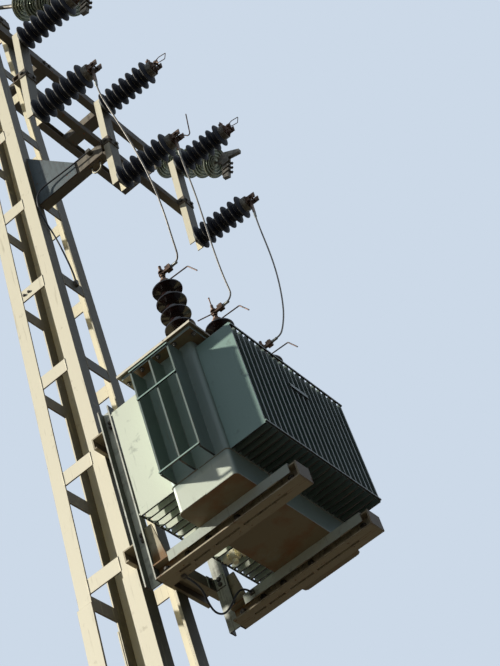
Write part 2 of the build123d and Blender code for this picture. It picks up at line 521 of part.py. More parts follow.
ARM_ROUTE = [(560, -124, 1611), (500, -124, 1611), (400, -125, 1615), (300, -127, 1621), (222, -134, 1618),
             (182, -146, 1581), (172, -152, 1516), (168, -142, 1441), (167, -112, 1371), (167, -72, 1311),
             (168, -38, 1236), (169, -10, 1146), (170, 10, 1066), (171, 22, 996), (171, 22, 948)]
cord("fuse_arm_cable", ARM_ROUTE, ARM_CABLE_D)
ARM_CLIP, ARM_CLIP_UP, ARM_CLIP_OUT = (560, 590), (1599, 1623), 32
POLE_CLIP, POLE_CLIP_UP, POLE_CLIP_OUT = (12, 32), (908, 948), 19
EARTH_CLIPS = ((493, 517, 213), (436, 456, -246, -222))
EARTH_CLIP_UP, EARTH_CLIP_T = (-1429, -1409), 12
arm_clip_z, pole_clip_z, earth_clip_z = [[MV_TERMINAL_Z + up for up in pair]
                                         for pair in (ARM_CLIP_UP, POLE_CLIP_UP, EARTH_CLIP_UP)]
pole_face = half(pole_clip_z[0], LEG_T)
save("cable_clips",
     block(*ARM_CLIP, BRACKET_Y0 - ARM_CLIP_OUT, BRACKET_Y0, *arm_clip_z),
     block(pole_face, pole_face + POLE_CLIP_OUT, *POLE_CLIP, *pole_clip_z),
     block(*EARTH_CLIPS[0], BEAM_Y[1] - SKID_W / 2, *earth_clip_z),
     block(*EARTH_CLIPS[1], beam_bottom - EARTH_CLIP_T, beam_bottom))
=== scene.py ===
# %% [markdown]
# # A pole mounted transformer
# A steel pole of four angle legs and flat battens carries a finned distribution transformer on two
# beams, three leaning fuse bases on a square arm, and a crossarm with three glass strings at its head.
# The steelwork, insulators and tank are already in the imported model, in metres, with +Z up. This
# lesson loads that model as a fixed frame and adds what gives it its looks: cables, bolts, weld
# beads, clamps, and a weathered finish for each surface.

# %% Load the frame
import json
import math

import bmesh
import bpy
from mathutils import Matrix, Vector


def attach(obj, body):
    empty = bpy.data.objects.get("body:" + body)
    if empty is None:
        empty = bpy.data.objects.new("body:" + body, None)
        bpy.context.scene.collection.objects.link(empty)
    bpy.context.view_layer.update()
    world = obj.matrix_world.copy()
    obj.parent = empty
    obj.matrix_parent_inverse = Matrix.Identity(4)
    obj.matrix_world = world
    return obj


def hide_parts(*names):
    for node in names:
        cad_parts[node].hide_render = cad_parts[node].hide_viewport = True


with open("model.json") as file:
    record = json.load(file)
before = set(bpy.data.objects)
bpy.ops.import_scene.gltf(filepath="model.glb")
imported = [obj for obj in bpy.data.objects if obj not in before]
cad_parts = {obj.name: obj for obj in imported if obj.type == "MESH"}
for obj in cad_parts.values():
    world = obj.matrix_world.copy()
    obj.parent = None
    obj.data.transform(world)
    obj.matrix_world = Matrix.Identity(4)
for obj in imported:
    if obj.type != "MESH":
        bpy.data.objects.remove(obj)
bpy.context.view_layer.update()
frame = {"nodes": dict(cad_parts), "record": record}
nodes = frame["nodes"]
print("CAD nodes:", len(nodes))


# %% A new object in the scene
def into_scene(name, data):
    """A new object that shows the data."""
    thing = bpy.data.objects.new(name, data)
    bpy.context.scene.collection.objects.link(thing)
    return thing


# %% [markdown]
# ## Camera
# The photograph looks up at the pole from below, with a long lens and the camera held on the slant.
# The camera's place and its three axes were solved from the pole's legs, the tank's edges and the
# beams, so the same view comes out of the model with no shift of the lens.

# %% Camera
EYE_M = (3.4338, -5.4299, 1.6001)
FOCAL_PIXELS, PICTURE_PIXELS, SENSOR_MM = 1663.6, 666, 36
camera_right = Vector((0.75676, 0.60030, -0.25877))
camera_up = Vector((0.58597, -0.44748, 0.67557))
camera_back = Vector((0.28975, -0.66287, -0.69039))
camera_data = bpy.data.cameras.new("camera")
camera = into_scene("camera", camera_data)
turn = Matrix((camera_right, camera_up, camera_back)).transposed()
camera.matrix_world = Matrix.Translation(EYE_M) @ turn.to_4x4()
camera_data.sensor_fit = "VERTICAL"
camera_data.sensor_height = SENSOR_MM
camera_data.lens = FOCAL_PIXELS / PICTURE_PIXELS * SENSOR_MM
bpy.context.scene.camera = camera
print("Lens", round(camera_data.lens, 1), "mm")

# %% [markdown]
# ## Cables
# Three bare leads drop from the fuse bases to the tall bushings, a black cable runs from the fuse
# arm into the pole, and an earth cable sags under the tank. Each could be a mesh swept by hand, but a
# NURBS spline through a few control points gives one smooth curve with no kinks, so the route's
# points are the only thing to keep. Blender adds each point's radius to the curve's box, so the radius
# holds the cable's real half thickness and the bevel is 1.

# %% A cable from its control points
def cable(name, points_mm, diameter_mm):
    """A cable that rides on the pole and takes the place of the node of the same name."""
    curve = bpy.data.curves.new(name, "CURVE")
    curve.dimensions = "3D"
    spline = curve.splines.new("NURBS")
    spline.points.add(len(points_mm) - 1)
    for point, place in zip(spline.points, points_mm):
        point.co = (place[0] / 1000, place[1] / 1000, place[2] / 1000, 1)
        point.radius = diameter_mm / 2000
    spline.order_u = 3
    spline.use_endpoint_u = True
    spline.resolution_u = 12
    curve.bevel_depth = 1.0
    curve.bevel_resolution = 3
    curve.use_fill_caps = True
    piece = into_scene(name, curve)
    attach(piece, "root")
    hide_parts(name)
    return piece


# %% The routes, in millimetres
lead_1 = cable("drop_lead_1", [
    (1069.2, -728, 8716.9), (1065.2, -728, 8657), (1072, -716, 8554), (1085, -692, 8431),
    (1097, -666, 8307), (1106, -638, 8185), (1111, -609, 8062), (1110, -579, 7939),
    (1102, -551, 7817), (1088, -522, 7701), (1071, -494, 7628), (1056, -466, 7575),
    (1042, -440, 7540), (1015, -425, 7524), (980, -425, 7524)],
    diameter_mm=9)
lead_2 = cable("drop_lead_2", [
    (1069.2, -33, 8716.9), (1065.2, -33, 8657), (1065, -32, 8552), (1066, -30, 8426),
    (1063, -27, 8299), (1057, -24, 8173), (1051, -21, 8046), (1045, -18, 7920),
    (1041, -15, 7803), (1040, -12, 7706), (1042, -11, 7638), (1044, -10, 7590),
    (1043.9, -10, 7560.9), (1030.4, -10, 7537.5), (1007, -10, 7524), (980, -10, 7524)],
    diameter_mm=9)
lead_3 = cable("drop_lead_3", [
    (1069.2, 662, 8716.9), (1065.2, 662, 8657), (1068, 650, 8554), (1076, 629, 8431),
    (1084, 606, 8306), (1090, 581, 8183), (1093, 554, 8058), (1092, 526, 7935),
    (1087, 497, 7813), (1078, 470, 7708), (1067, 446, 7633), (1056, 427, 7578),
    (1042, 415, 7541), (1015, 405, 7524), (980, 405, 7524)],
    diameter_mm=9)
earth_cable = cable("earth_cable", [
    (505, 213, 6105), (505, 158, 6105), (480, 118, 6072), (448, 102, 6018), (416, 70, 5972),
    (404, 12, 5964), (416, -44, 5988), (438, -96, 6020), (446, -158, 6037), (446, -222, 6037)],
    diameter_mm=10)
fuse_arm_cable = cable("fuse_arm_cable", [
    (560, -124, 9135), (500, -124, 9135), (400, -125, 9139), (300, -127, 9145), (222, -134, 9142),
    (182, -146, 9105), (172, -152, 9040), (168, -142, 8965), (167, -112, 8895), (167, -72, 8835),
    (168, -38, 8760), (169, -10, 8670), (170, 10, 8590), (171, 22, 8520), (171, 22, 8472)],
    diameter_mm=10)
leads = [lead_1, lead_2, lead_3]
sheathed_cables = [earth_cable, fuse_arm_cable]
print("Cables:", len(leads) + len(sheathed_cables))

# %% [markdown]
# ## Colours and nodes
# A colour is easiest to read as sRGB hex, but Blender's shaders reckon in linear light, so one
# function turns the first into the second. A finish is a net of nodes. It could be wired by hand in
# the editor, but one function that adds a node with its settings and links keeps it short in a script.

# %% Colours, nodes and an empty finish
# A Mix node keeps its colour sockets behind those for single values and for vectors.
MIX_A, MIX_B, MIX_RESULT = 6, 7, 2
COLOUR_MIX = {"data_type": "RGBA"}


def colour(hex_code):
    """An sRGB hex code as linear red, green, blue and a full alpha."""
    channels = [int(hex_code[i:i + 2], 16) / 255 for i in (1, 3, 5)]
    linear = [c / 12.92 if c <= 0.04045 else ((c + 0.055) / 1.055) ** 2.4 for c in channels]
    return (*linear, 1)


def add_node(owner, kind, inputs=None, settings=None):
    """Adds a node to a material or world. An input is a plain value, or a (node, output) pair."""
    node = owner.node_tree.nodes.new(kind)
    for name, value in (settings or {}).items():
        setattr(node, name, value)
    for socket, value in (inputs or {}).items():
        if isinstance(value, tuple) and len(value) == 2 and hasattr(value[0], "outputs"):
            owner.node_tree.links.new(value[0].outputs[value[1]], node.inputs[socket])
        else:
            node.inputs[socket].default_value = value
    return node


def empty_finish(name):
    """A material with no nodes yet."""
    material = bpy.data.materials.new(name)
    material.use_nodes = True
    material.node_tree.nodes.clear()
    return material


# %% [markdown]
# ## Floor, background and light
# The real pole stands in low sun from behind and the left, and a weak blue light fills its shade.
# One sun with a slightly soft edge and a dim blue world give much the same contrast. The backdrop is
# plain and pale: its brightness is its own colour, seen only by camera, gloss and glass rays, so it
# puts no extra light on the steelwork. The floor is pale to the camera, but throws back no more light
# than dull stone does.

# %% World
FILL_STRENGTH = 0.16
world = bpy.data.worlds.new("surround")
bpy.context.scene.world = world
world.use_nodes = True
world.node_tree.nodes.clear()
rays = add_node(world, "ShaderNodeLightPath")
seen = (rays, "Is Camera Ray")
for kind in ("Is Glossy Ray", "Is Transmission Ray"):
    either = add_node(world, "ShaderNodeMath", {0: seen, 1: (rays, kind)}, {"operation": "MAXIMUM"})
    seen = (either, 0)
fill_light = add_node(world, "ShaderNodeBackground", {"Color": colour("#BED3F5"), "Strength": FILL_STRENGTH})
backdrop = add_node(world, "ShaderNodeBackground", {"Color": colour("#CCD9E8"), "Strength": 1.0})
surround = add_node(world, "ShaderNodeMixShader", {0: seen, 1: (fill_light, 0), 2: (backdrop, 0)})
add_node(world, "ShaderNodeOutputWorld", {"Surface": (surround, 0)})
print("Blue fill of strength", FILL_STRENGTH)

# %% Sun
TOWARDS_SUN = Vector((-0.78, -0.395, 0.49))
sun_data = bpy.data.lights.new("low_sun", "SUN")
sun_data.energy = 5.4
sun_data.angle = math.radians(2.5)
sun_data.color = (1.0, 0.955, 0.87)
sun = into_scene("low_sun", sun_data)
sun.rotation_euler = TOWARDS_SUN.to_track_quat("Z", "Y").to_euler()
print("Sun of strength", round(sun_data.energy, 1))

# %% Floor
FLOOR_HALF_M = 40
floor_corners = [(x * FLOOR_HALF_M, y * FLOOR_HALF_M, 0) for x, y in ((-1, -1), (1, -1), (1, 1), (-1, 1))]
floor_mesh = bpy.data.meshes.new("floor")
floor_mesh.from_pydata(floor_corners, [], [(0, 1, 2, 3)])
floor = into_scene("floor", floor_mesh)
floor_paint = empty_finish("pale_floor")
rays = add_node(floor_paint, "ShaderNodeLightPath")
floor_look = {"Factor": (rays, "Is Camera Ray"), MIX_A: colour("#5C574C"), MIX_B: colour("#D9DCDD")}
floor_colour = add_node(floor_paint, "ShaderNodeMix", floor_look, COLOUR_MIX)
floor_inputs = {"Base Color": (floor_colour, MIX_RESULT), "Roughness": 0.9}
floor_shader = add_node(floor_paint, "ShaderNodeBsdfPrincipled", floor_inputs)
add_node(floor_paint, "ShaderNodeOutputMaterial", {"Surface": (floor_shader, 0)})
floor_mesh.materials.append(floor_paint)
bpy.context.scene.view_settings.view_transform = "Standard"
print("Floor", 2 * FLOOR_HALF_M, "m wide")

# %% [markdown]
# ## Patterns that the finishes share
# Weather works in layers, so every finish here is a plain coat with other colours laid over it. Each
# layer needs a mask that says where it shows. Painting masks by hand would need a UV map for every
# piece. Noise in the object's own coordinates needs none, and as these are metres its scale is one
# over the size of a blotch, so each blotch has a real size in millimetres.

# %% Masks of blotches, faces that look one way, bare edges and places
UP, DOWN = (0, 0, 1), (0, 0, -1)


def blotches(material, size_mm, low, high, stretch=(1, 1, 1), detail=5.0):
    """A mask of blotches size_mm across: none where the noise is under low, full over high."""
    where = add_node(material, "ShaderNodeTexCoord")
    drawn = add_node(material, "ShaderNodeMapping", {"Vector": (where, "Object"), "Scale": stretch})
    noise = {"Vector": (drawn, 0), "Scale": 1000 / size_mm, "Detail": detail, "Roughness": 0.6}
    cloud = add_node(material, "ShaderNodeTexNoise", noise)
    return add_node(material, "ShaderNodeMapRange", {"Value": (cloud, 0), "From Min": low, "From Max": high})


def facing(material, direction, low, high, worn):
    """A mask on faces that look along direction, broken up by the blotches in worn."""
    flat = add_node(material, "ShaderNodeNewGeometry")
    ways = {0: (flat, "Normal"), 1: direction}
    meet = add_node(material, "ShaderNodeVectorMath", ways, {"operation": "DOT_PRODUCT"})
    share = {"Value": (meet, "Value"), "From Min": low, "From Max": high}
    side = add_node(material, "ShaderNodeMapRange", share)
    return add_node(material, "ShaderNodeMath", {0: (side, 0), 1: (worn, 0)}, {"operation": "MULTIPLY"})


def bare_edges(material, width_mm, worn):
    """A mask along sharp edges, where a face turns away from the normal of the edge rounded off."""
    rounded_off = add_node(material, "ShaderNodeBevel", {"Radius": width_mm / 1000}, {"samples": 4})
    return facing(material, (rounded_off, 0), 0.995, 0.80, worn)


def kept_where(material, mask, limits):
    """The mask kept within limits: each is an axis, where nothing is left and where all is, in metres."""
    where = add_node(material, "ShaderNodeTexCoord")
    place = add_node(material, "ShaderNodeSeparateXYZ", {"Vector": (where, "Object")})
    for axis, none_m, full_m in limits:
        span = {"Value": (place, axis), "From Min": none_m, "From Max": full_m}
        part_way = add_node(material, "ShaderNodeMapRange", span)
        both = {0: (part_way, 0), 1: (mask, 0)}
        mask = add_node(material, "ShaderNodeMath", both, {"operation": "MULTIPLY"})
    return mask


# %% A finish made of layers
def layered(material, coat, layers):
    """The coat's colour with each layer's colour mixed over it where its mask says."""
    below = colour(coat)
    for hex_code, mask in layers:
        laid = {"Factor": (mask, 0), MIX_A: below, MIX_B: colour(hex_code)}
        below = (add_node(material, "ShaderNodeMix", laid, COLOUR_MIX), MIX_RESULT)
    return below


def surfaced(material, height, strength, relief_mm, look):
    """The material with its shader: the look, and a relief that follows height."""
    bump = {"Height": (height, 0), "Strength": strength, "Distance": relief_mm / 1000}
    relief = add_node(material, "ShaderNodeBump", bump)
    shader = add_node(material, "ShaderNodeBsdfPrincipled", {**look, "Normal": (relief, 0)})
    add_node(material, "ShaderNodeOutputMaterial", {"Surface": (shader, 0)})
    return material


# %% [markdown]
# ## Painted steel that has stood outdoors
# The pole, beams, arms and tank are rolled steel with brushed or sprayed alkyd paint. The paint
# fades in patches as wide as a hand, dust runs down it in streaks, and rust comes through in spots and
# along edges, where paint is thinnest. A painted picture could show that once; here one function lays
# the same layers with each piece's own colours and sizes, since all this steel aged alike. Old
# paint is a dielectric: IOR 1.5, and rough where it chalks.
#
# Each finish also has a list of sides: a colour, the way the faces look, and the limits it keeps to. Most of
# these are painted light and painted shade. Faces along -Y are painted paler and those along +X darker than
# one sun makes them, and the transformer gets painted light on its -X faces and on a few fins. One of these
# sides is real rust, at the foot of the knee plates. Brush marks are 2.5 mm wide here, which is coarser than
# real ones, so that they show at all.

# %% Weathered paint
RUST_HEX, DEEP_RUST_HEX, RUN_OFF_HEX = "#8C5632", "#4A2413", "#80552E"
RUST_ROUGHNESS = 0.92


def weathered_paint(name, coat, faded, dirt, under, sides, rust_from, edge_mm,
                    roughness=0.55, streak=0.50, smudge=0.50, relief_mm=0.5, run_off_from=0.60):
    """Old paint: a coat, its layers, then rust in spots and along edges, and a relief of all that."""
    material = empty_finish(name)
    patches = blotches(material, 420, 0.35, 0.68)
    smudges = blotches(material, 60, smudge, smudge + 0.30)
    streaks = blotches(material, 22, streak, streak + 0.28, (1, 1, 0.07))
    spots = blotches(material, 26, rust_from, rust_from + 0.07, detail=8.0)
    edges = bare_edges(material, edge_mm, blotches(material, 70, 0.40, 0.62))
    # Faces that look down take the under colour: dirt, and on most finishes painted shade as well, which is
    # near black under the transformer's fins.
    underside_dirt_and_shade = facing(material, DOWN, 0.3, 0.9, blotches(material, 260, 0.10, 0.40))
    drips = blotches(material, 150, run_off_from, run_off_from + 0.20)
    run_off = facing(material, DOWN, 0.3, 0.9, drips)
    deep_rust = blotches(material, 9, 0.42, 0.62)
    cloudy = blotches(material, 300, 0.05, 0.35)
    layers = [(faded, patches)]
    # Each side lays its colour on the faces that look its way: painted light, painted shade, and on the
    # beams real rust at the foot of the knee plates.
    for hex_code, direction, limits in sides:
        side = facing(material, direction, 0.4, 0.9, cloudy)
        layers.append((hex_code, kept_where(material, side, limits)))
    layers += [(dirt, smudges), (dirt, streaks), (under, underside_dirt_and_shade), (RUN_OFF_HEX, run_off)]
    paint = layered(material, coat, layers)
    scale = layered(material, DEEP_RUST_HEX, [(RUST_HEX, deep_rust)])
    either = {0: (spots, 0), 1: (edges, 0)}
    rusted = add_node(material, "ShaderNodeMath", either, {"operation": "MAXIMUM"})
    coats = {"Factor": (rusted, 0), MIX_A: paint, MIX_B: scale}
    surface = add_node(material, "ShaderNodeMix", coats, COLOUR_MIX)
    chalk = {"Value": (rusted, 0), "To Min": roughness, "To Max": RUST_ROUGHNESS}
    rough = add_node(material, "ShaderNodeMapRange", chalk)
    brush = blotches(material, 2.5, 0.2, 0.8, (1, 1, 0.12), detail=2.0)
    both = {0: (brush, 0), 1: (deep_rust, 0)}
    raised = add_node(material, "ShaderNodeMath", both, {"operation": "ADD"})
    less_rust = {0: (raised, 0), 1: (rusted, 0)}
    height = add_node(material, "ShaderNodeMath", less_rust, {"operation": "SUBTRACT"})
    return surfaced(material, height, 0.35, relief_mm, {
        "Base Color": (surface, MIX_RESULT), "Roughness": (rough, 0), "IOR": 1.5})


# %% The sides of the pole, and how far a side's colour reaches
# Painted light goes on faces along -Y, and painted shade on faces along +X. The sunny side, along -X, gets
# painted light on the transformer. Real rust at the foot of the knee plates also uses the -Y side.
PAINTED_LIGHT_AND_RUST_SIDE, PAINTED_SHADE_SIDE, SUNNY_SIDE = (0, -1, 0), (0.97, 0.24, 0), (-1, 0, 0)
ALL_OVER = []
# Limits in metres: most keep painted light to a few fins or to the tank's foot, and KNEE_FOOT keeps real
# rust to the foot of the knee plates.
FIRST_FIN = [("Y", -0.435, -0.445)]
POLE_SIDE_FINS = [("X", 0.675, 0.655)]
NEAR_END_FIN = [("X", 0.70, 0.68)]
BELOW_FINS = [("Z", 6.28, 6.24)]
KNEE_FOOT = [("Z", 6.22, 6.17), ("Z", 6.06, 6.11), ("X", 0.50, 0.44)]


def two_sides(painted_light_hex, painted_shade_hex):
    """The colours of a side with painted light and a side with painted shade, each all over."""
    return [(painted_light_hex, PAINTED_LIGHT_AND_RUST_SIDE, ALL_OVER), (painted_shade_hex, PAINTED_SHADE_SIDE, ALL_OVER)]


# %% Paint of the pole and the transformer
# In two_sides the first colour is painted light on -Y faces, and the second is painted shade on +X faces.
cream_paint = weathered_paint(
    "cream_alkyd_paint", coat="#C8C0A2", faded="#C0B898", dirt="#A09576", under="#5E5440",
    sides=two_sides("#F5EED2", "#4E4938"),
    rust_from=0.73, edge_mm=3, streak=0.60, smudge=0.62, relief_mm=0.3)
# Painted light and shade on the transformer: paler colours on its -X faces, on the first fin and on the fins
# towards the pole, and a darker colour on its +X faces. Its coat is darker than the tank body's, partly
# painted shade for the deep gaps between the fins.
transformer_paint = weathered_paint(
    "grey_green_alkyd_paint", coat="#6C7B74", faded="#74837A", dirt="#5F6A60", under="#1E1F1A",
    sides=[("#A4B2A4", SUNNY_SIDE, ALL_OVER), ("#94B2A6", PAINTED_LIGHT_AND_RUST_SIDE, FIRST_FIN),
           ("#E6EDD8", PAINTED_LIGHT_AND_RUST_SIDE, POLE_SIDE_FINS), ("#66746E", PAINTED_SHADE_SIDE, ALL_OVER)],
    rust_from=0.74, edge_mm=3, roughness=0.42, streak=0.60, smudge=0.62, relief_mm=0.3)
# The end fins' darker coat is painted shade, with painted light on the -X faces of the near end fin.
end_fin_paint = weathered_paint(
    "shaded_grey_green_paint", coat="#66776F", faded="#6C7B72", dirt="#566058", under="#1E1F1A",
    sides=[("#A4B2A4", SUNNY_SIDE, NEAR_END_FIN)],
    rust_from=0.74, edge_mm=3, roughness=0.42, streak=0.60, smudge=0.62, relief_mm=0.3)
# The tank body gets painted light on its -Y faces below the fins, and painted shade on its +X faces.
tank_end_paint = weathered_paint(
    "stained_grey_green_paint", coat="#98ABA2", faded="#A2B2A8", dirt="#8C8C74", under="#84765A",
    sides=[("#DFE7D4", PAINTED_LIGHT_AND_RUST_SIDE, BELOW_FINS), ("#7C8A80", PAINTED_SHADE_SIDE, ALL_OVER)],
    rust_from=0.72, edge_mm=4, roughness=0.45, streak=0.60, smudge=0.60, relief_mm=0.3, run_off_from=0.46)
cover_paint = weathered_paint(
    "stained_beige_paint", coat="#A29B7E", faded="#B4AA88", dirt="#6F5F42", under="#74674C",
    sides=two_sides("#F2ECD4", "#6E6448"),
    rust_from=0.62, edge_mm=5, streak=0.56, smudge=0.58)
skid_paint = weathered_paint(
    "rusty_grey_green_paint", coat="#87907F", faded="#8E8B74", dirt="#5A5040", under="#3A2E20",
    sides=two_sides("#BFC7B8", "#4A4C42"),
    rust_from=0.66, edge_mm=5, streak=0.60, smudge=0.58)
painted = [cream_paint, transformer_paint, end_fin_paint, tank_end_paint, cover_paint, skid_paint]
print("Painted finishes of the pole and the transformer:", len(painted))

# %% Paint of the frame and the arms
# The beams' sides are painted light and painted shade, with real rust at the foot of the knee plates.
beam_paint = weathered_paint(
    "rust_stained_grey_paint", coat="#8A806C", faded="#9A8E74", dirt="#5F5240", under="#978A70",
    sides=two_sides("#B9AE90", "#5A5040") + [("#86602C", PAINTED_LIGHT_AND_RUST_SIDE, KNEE_FOOT)],
    rust_from=0.64, edge_mm=5, roughness=0.65, streak=0.54, run_off_from=0.62)
upright_paint = weathered_paint(
    "slate_grey_paint", coat="#8A9088", faded="#969A8E", dirt="#5A5648", under="#2E2A24",
    sides=two_sides("#D6DACC", "#434840"),
    rust_from=0.68, edge_mm=4, roughness=0.6, streak=0.56)
arm_paint = weathered_paint(
    "old_dark_paint", coat="#625B50", faded="#6E6558", dirt="#433B31", under="#5C564A",
    sides=two_sides("#837A68", "#4A453C"),
    rust_from=0.62, edge_mm=5, roughness=0.7, streak=0.48, run_off_from=0.68)
knee_paint = weathered_paint(
    "blue_grey_paint", coat="#5A666A", faded="#7E7F72", dirt="#40433F", under="#2F2B26",
    sides=two_sides("#5E6A6C", "#4A5456"),
    rust_from=0.64, edge_mm=4, roughness=0.6)
painted = [beam_paint, upright_paint, arm_paint, knee_paint]
print("Painted finishes of the frame and the arms:", len(painted))

# %% [markdown]
# ## Hot dip galvanised steel
# Feet, caps, clips, clamps and bolts are steel dipped in molten zinc. Zinc freezes in flat crystals
# some 10 mm wide that each shine a little differently, then dulls to a matt grey with white bloom. A
# Voronoi cell has the shape of such a crystal, so cells of that size change the roughness and the
# grey. It is a metal, so it keeps the default IOR, and as dull oxide hides much of the metal,
# Metallic is only a little over a half.

# %% Galvanised steel
def galvanised(name, grey, dark, bloom_hex, spangle_mm):
    """Zinc in crystals spangle_mm across, between grey and dark, with bloom and rust stains over it."""
    material = empty_finish(name)
    where = add_node(material, "ShaderNodeTexCoord")
    cells = {"Vector": (where, "Object"), "Scale": 1000 / spangle_mm}
    spangle = add_node(material, "ShaderNodeTexVoronoi", cells)
    shine = add_node(material, "ShaderNodeSeparateColor", {"Color": (spangle, "Color")})
    bloom = blotches(material, 30, 0.46, 0.72)
    stain = blotches(material, 14, 0.60, 0.72, detail=8.0)
    surface = layered(material, grey, [(dark, shine), (bloom_hex, bloom), ("#5B3B24", stain)])
    sheen = {"Value": (shine, 1), "To Min": 0.42, "To Max": 0.62}
    rough = add_node(material, "ShaderNodeMapRange", sheen)
    look = {"Base Color": surface, "Metallic": 0.55, "Roughness": (rough, 0)}
    return surfaced(material, bloom, 0.3, 0.5, look)


zinc = galvanised("galvanised_steel", "#8F918C", "#6F726E", "#A5A79E", 10)
dull_zinc = galvanised("dull_galvanised_bolts", "#5E594F", "#45413A", "#79746A", 6)
sooty_zinc = galvanised("sooty_galvanised_castings", "#6A655A", "#4A463E", "#8C867A", 8)
print("Galvanised finishes:", len([zinc, dull_zinc, sooty_zinc]))

# %% [markdown]
# ## Glazed porcelain and rubber sheds
# The tall bushings are porcelain dipped in a brown glaze rich in iron: glass over clay, so it is smooth, has
# IOR 1.52 and shows sharp highlights, with dust lying on the upward faces. The fuse insulators have sheds of
# blue-black silicone rubber, moulded, satin and IOR 1.41, with a thin cream line on their rims that is a
# painted highlight. The dust comes from a mask of the faces that look up, and the rims from a mask of bare
# edges.

# %% Porcelain and rubber
def shed_finish(name, body, speckle, dust, dust_share, rim_highlight_hex, roughness, ior, coat):
    """An insulator's surface, with speckles, dust on the upward faces and a lighter rim, a painted
    highlight.
    """
    material = empty_finish(name)
    grain = blotches(material, 4, 0.52, 0.74)
    film = facing(material, UP, 0.2, 0.95, blotches(material, 35, 0.50 - dust_share, 0.85))
    rim_highlight = bare_edges(material, 3, blotches(material, 20, 0.30, 0.55))
    surface = layered(material, body, [(speckle, grain), (dust, film), (rim_highlight_hex, rim_highlight)])
    matt = {"Value": (film, 0), "To Min": roughness, "To Max": 0.7}
    rough = add_node(material, "ShaderNodeMapRange", matt)
    ripple = blotches(material, 12, 0.3, 0.7, detail=2.0)
    return surfaced(material, ripple, 0.12, 0.6, {
        "Base Color": surface, "Roughness": (rough, 0), "IOR": ior, "Coat Weight": coat,
        "Coat Roughness": 0.06})


porcelain = shed_finish(
    "brown_glazed_porcelain", body="#1F100E", speckle="#34201A", dust="#4A3D34", dust_share=0.08,
    rim_highlight_hex="#2E1D18", roughness=0.12, ior=1.52, coat=0.6)
# The rubber's cream rim colour is a painted highlight.
rubber_shed = shed_finish(
    "blue_black_silicone_rubber", body="#0A0D1A", speckle="#131725", dust="#20263A", dust_share=0.0,
    rim_highlight_hex="#C2BAA0", roughness=0.68, ior=1.41, coat=0.0)
print("Shed finishes:", porcelain.name, "and", rubber_shed.name)

# %% [markdown]
# ## Toughened glass
# The string's discs are pressed soda-lime glass, cooled fast to toughen it: IOR 1.52, faintly green, with a
# soft waviness from the mould and a film of dust. Clear glass would show every rib behind it as noise, so
# part of the light is scattered by the dust film, as on the real discs. The grooves between the ribs get
# painted shade, a dark grey-green. Ambient occlusion over 22 mm, a little less than a disc is thick, finds
# them: it is low in a groove and high on a crest.

# %% Glass
GROOVE_REACH_M = 0.022
glass = empty_finish("toughened_soda_glass")
film = blotches(glass, 50, 0.40, 0.75)
# Painted shade: the glass is darkened in its grooves, where ambient occlusion is low.
groove_shade = add_node(glass, "ShaderNodeAmbientOcclusion", {"Distance": GROOVE_REACH_M}, {"samples": 8})
crest = add_node(glass, "ShaderNodeMapRange", {"Value": (groove_shade, "AO"), "From Min": 0.30, "From Max": 0.80})
dusty = layered(glass, "#DDE8D6", [("#D2C7A2", film)])
ribbed = {"Factor": (crest, 0), MIX_A: colour("#4A5642"), MIX_B: dusty}
glass_colour = add_node(glass, "ShaderNodeMix", ribbed, COLOUR_MIX)
wave = blotches(glass, 25, 0.2, 0.8, detail=1.0)
surfaced(glass, wave, 0.2, 1.0, {
    "Base Color": (glass_colour, MIX_RESULT), "Roughness": 0.12, "IOR": 1.52, "Transmission Weight": 0.42})
print("Glass finish:", glass.name)

# %% [markdown]
# ## Copper, brass and the cables
# Contacts, studs and horn tips are copper alloys, cast or bent from rod. Outdoors they turn dark brown, with
# bright metal only where something rubs. The valve is cast brass under a chalked yellow lacquer that hides
# the metal, so its Metallic is 0. Its pale cream is partly that lacquer and partly painted light, as pale as
# the valve in full sun. The leads are stranded wire, and the cables have a black polythene sheath that the
# sun has chalked.

# %% Copper alloys
def copper_alloy(name, tarnish, bright, verdigris, metallic, roughness):
    """A dull alloy with brighter patches, green spots, and bright metal along its edges."""
    material = empty_finish(name)
    rubbed = bare_edges(material, 2, blotches(material, 12, 0.35, 0.6))
    patches = blotches(material, 16, 0.42, 0.68)
    green = blotches(material, 8, 0.66, 0.74)
    surface = layered(material, tarnish, [(bright, patches), (verdigris, green), (bright, rubbed)])
    look = {"Base Color": surface, "Metallic": metallic, "Roughness": roughness}
    return surfaced(material, patches, 0.25, 0.5, look)


tarnished_copper = copper_alloy("tarnished_copper", "#3F3027", "#7A5F4B", "#6F8878", 0.6, 0.5)
horn_copper = copper_alloy("arcing_horn_copper", "#37302B", "#7D5C48", "#6F8878", 0.6, 0.45)
# The valve's pale cream is partly painted light, as pale as the valve in full sun.
valve_brass_with_painted_light = copper_alloy("lacquered_brass_with_painted_light", "#F5EED0", "#EBDFB0", "#C4BA8C", 0.0, 0.42)
print("Copper alloy finishes:", len([tarnished_copper, horn_copper, valve_brass_with_painted_light]))

# %% Leads and sheaths
def wire_finish(name, dark, light, twist_mm, metallic, roughness):
    """A cable's surface, with light strands or ribs twist_mm wide and patches of chalk."""
    material = empty_finish(name)
    strands = blotches(material, twist_mm, 0.40, 0.60, (1, 1, 0.5), detail=1.0)
    chalk = blotches(material, 60, 0.45, 0.8)
    surface = layered(material, dark, [(light, strands), (light, chalk)])
    look = {"Base Color": surface, "Metallic": metallic, "Roughness": roughness}
    return surfaced(material, strands, 0.5, 0.6, look)


lead_wire = wire_finish("stranded_wire", "#55504A", "#8B867C", 3, 0.5, 0.5)
black_sheath = wire_finish("black_polythene", "#1B1B1E", "#2C2C30", 6, 0.0, 0.55)
for piece in leads:
    piece.data.materials.append(lead_wire)
for piece in sheathed_cables:
    piece.data.materials.append(black_sheath)
print("Cable finishes:", lead_wire.name, "and", black_sheath.name)

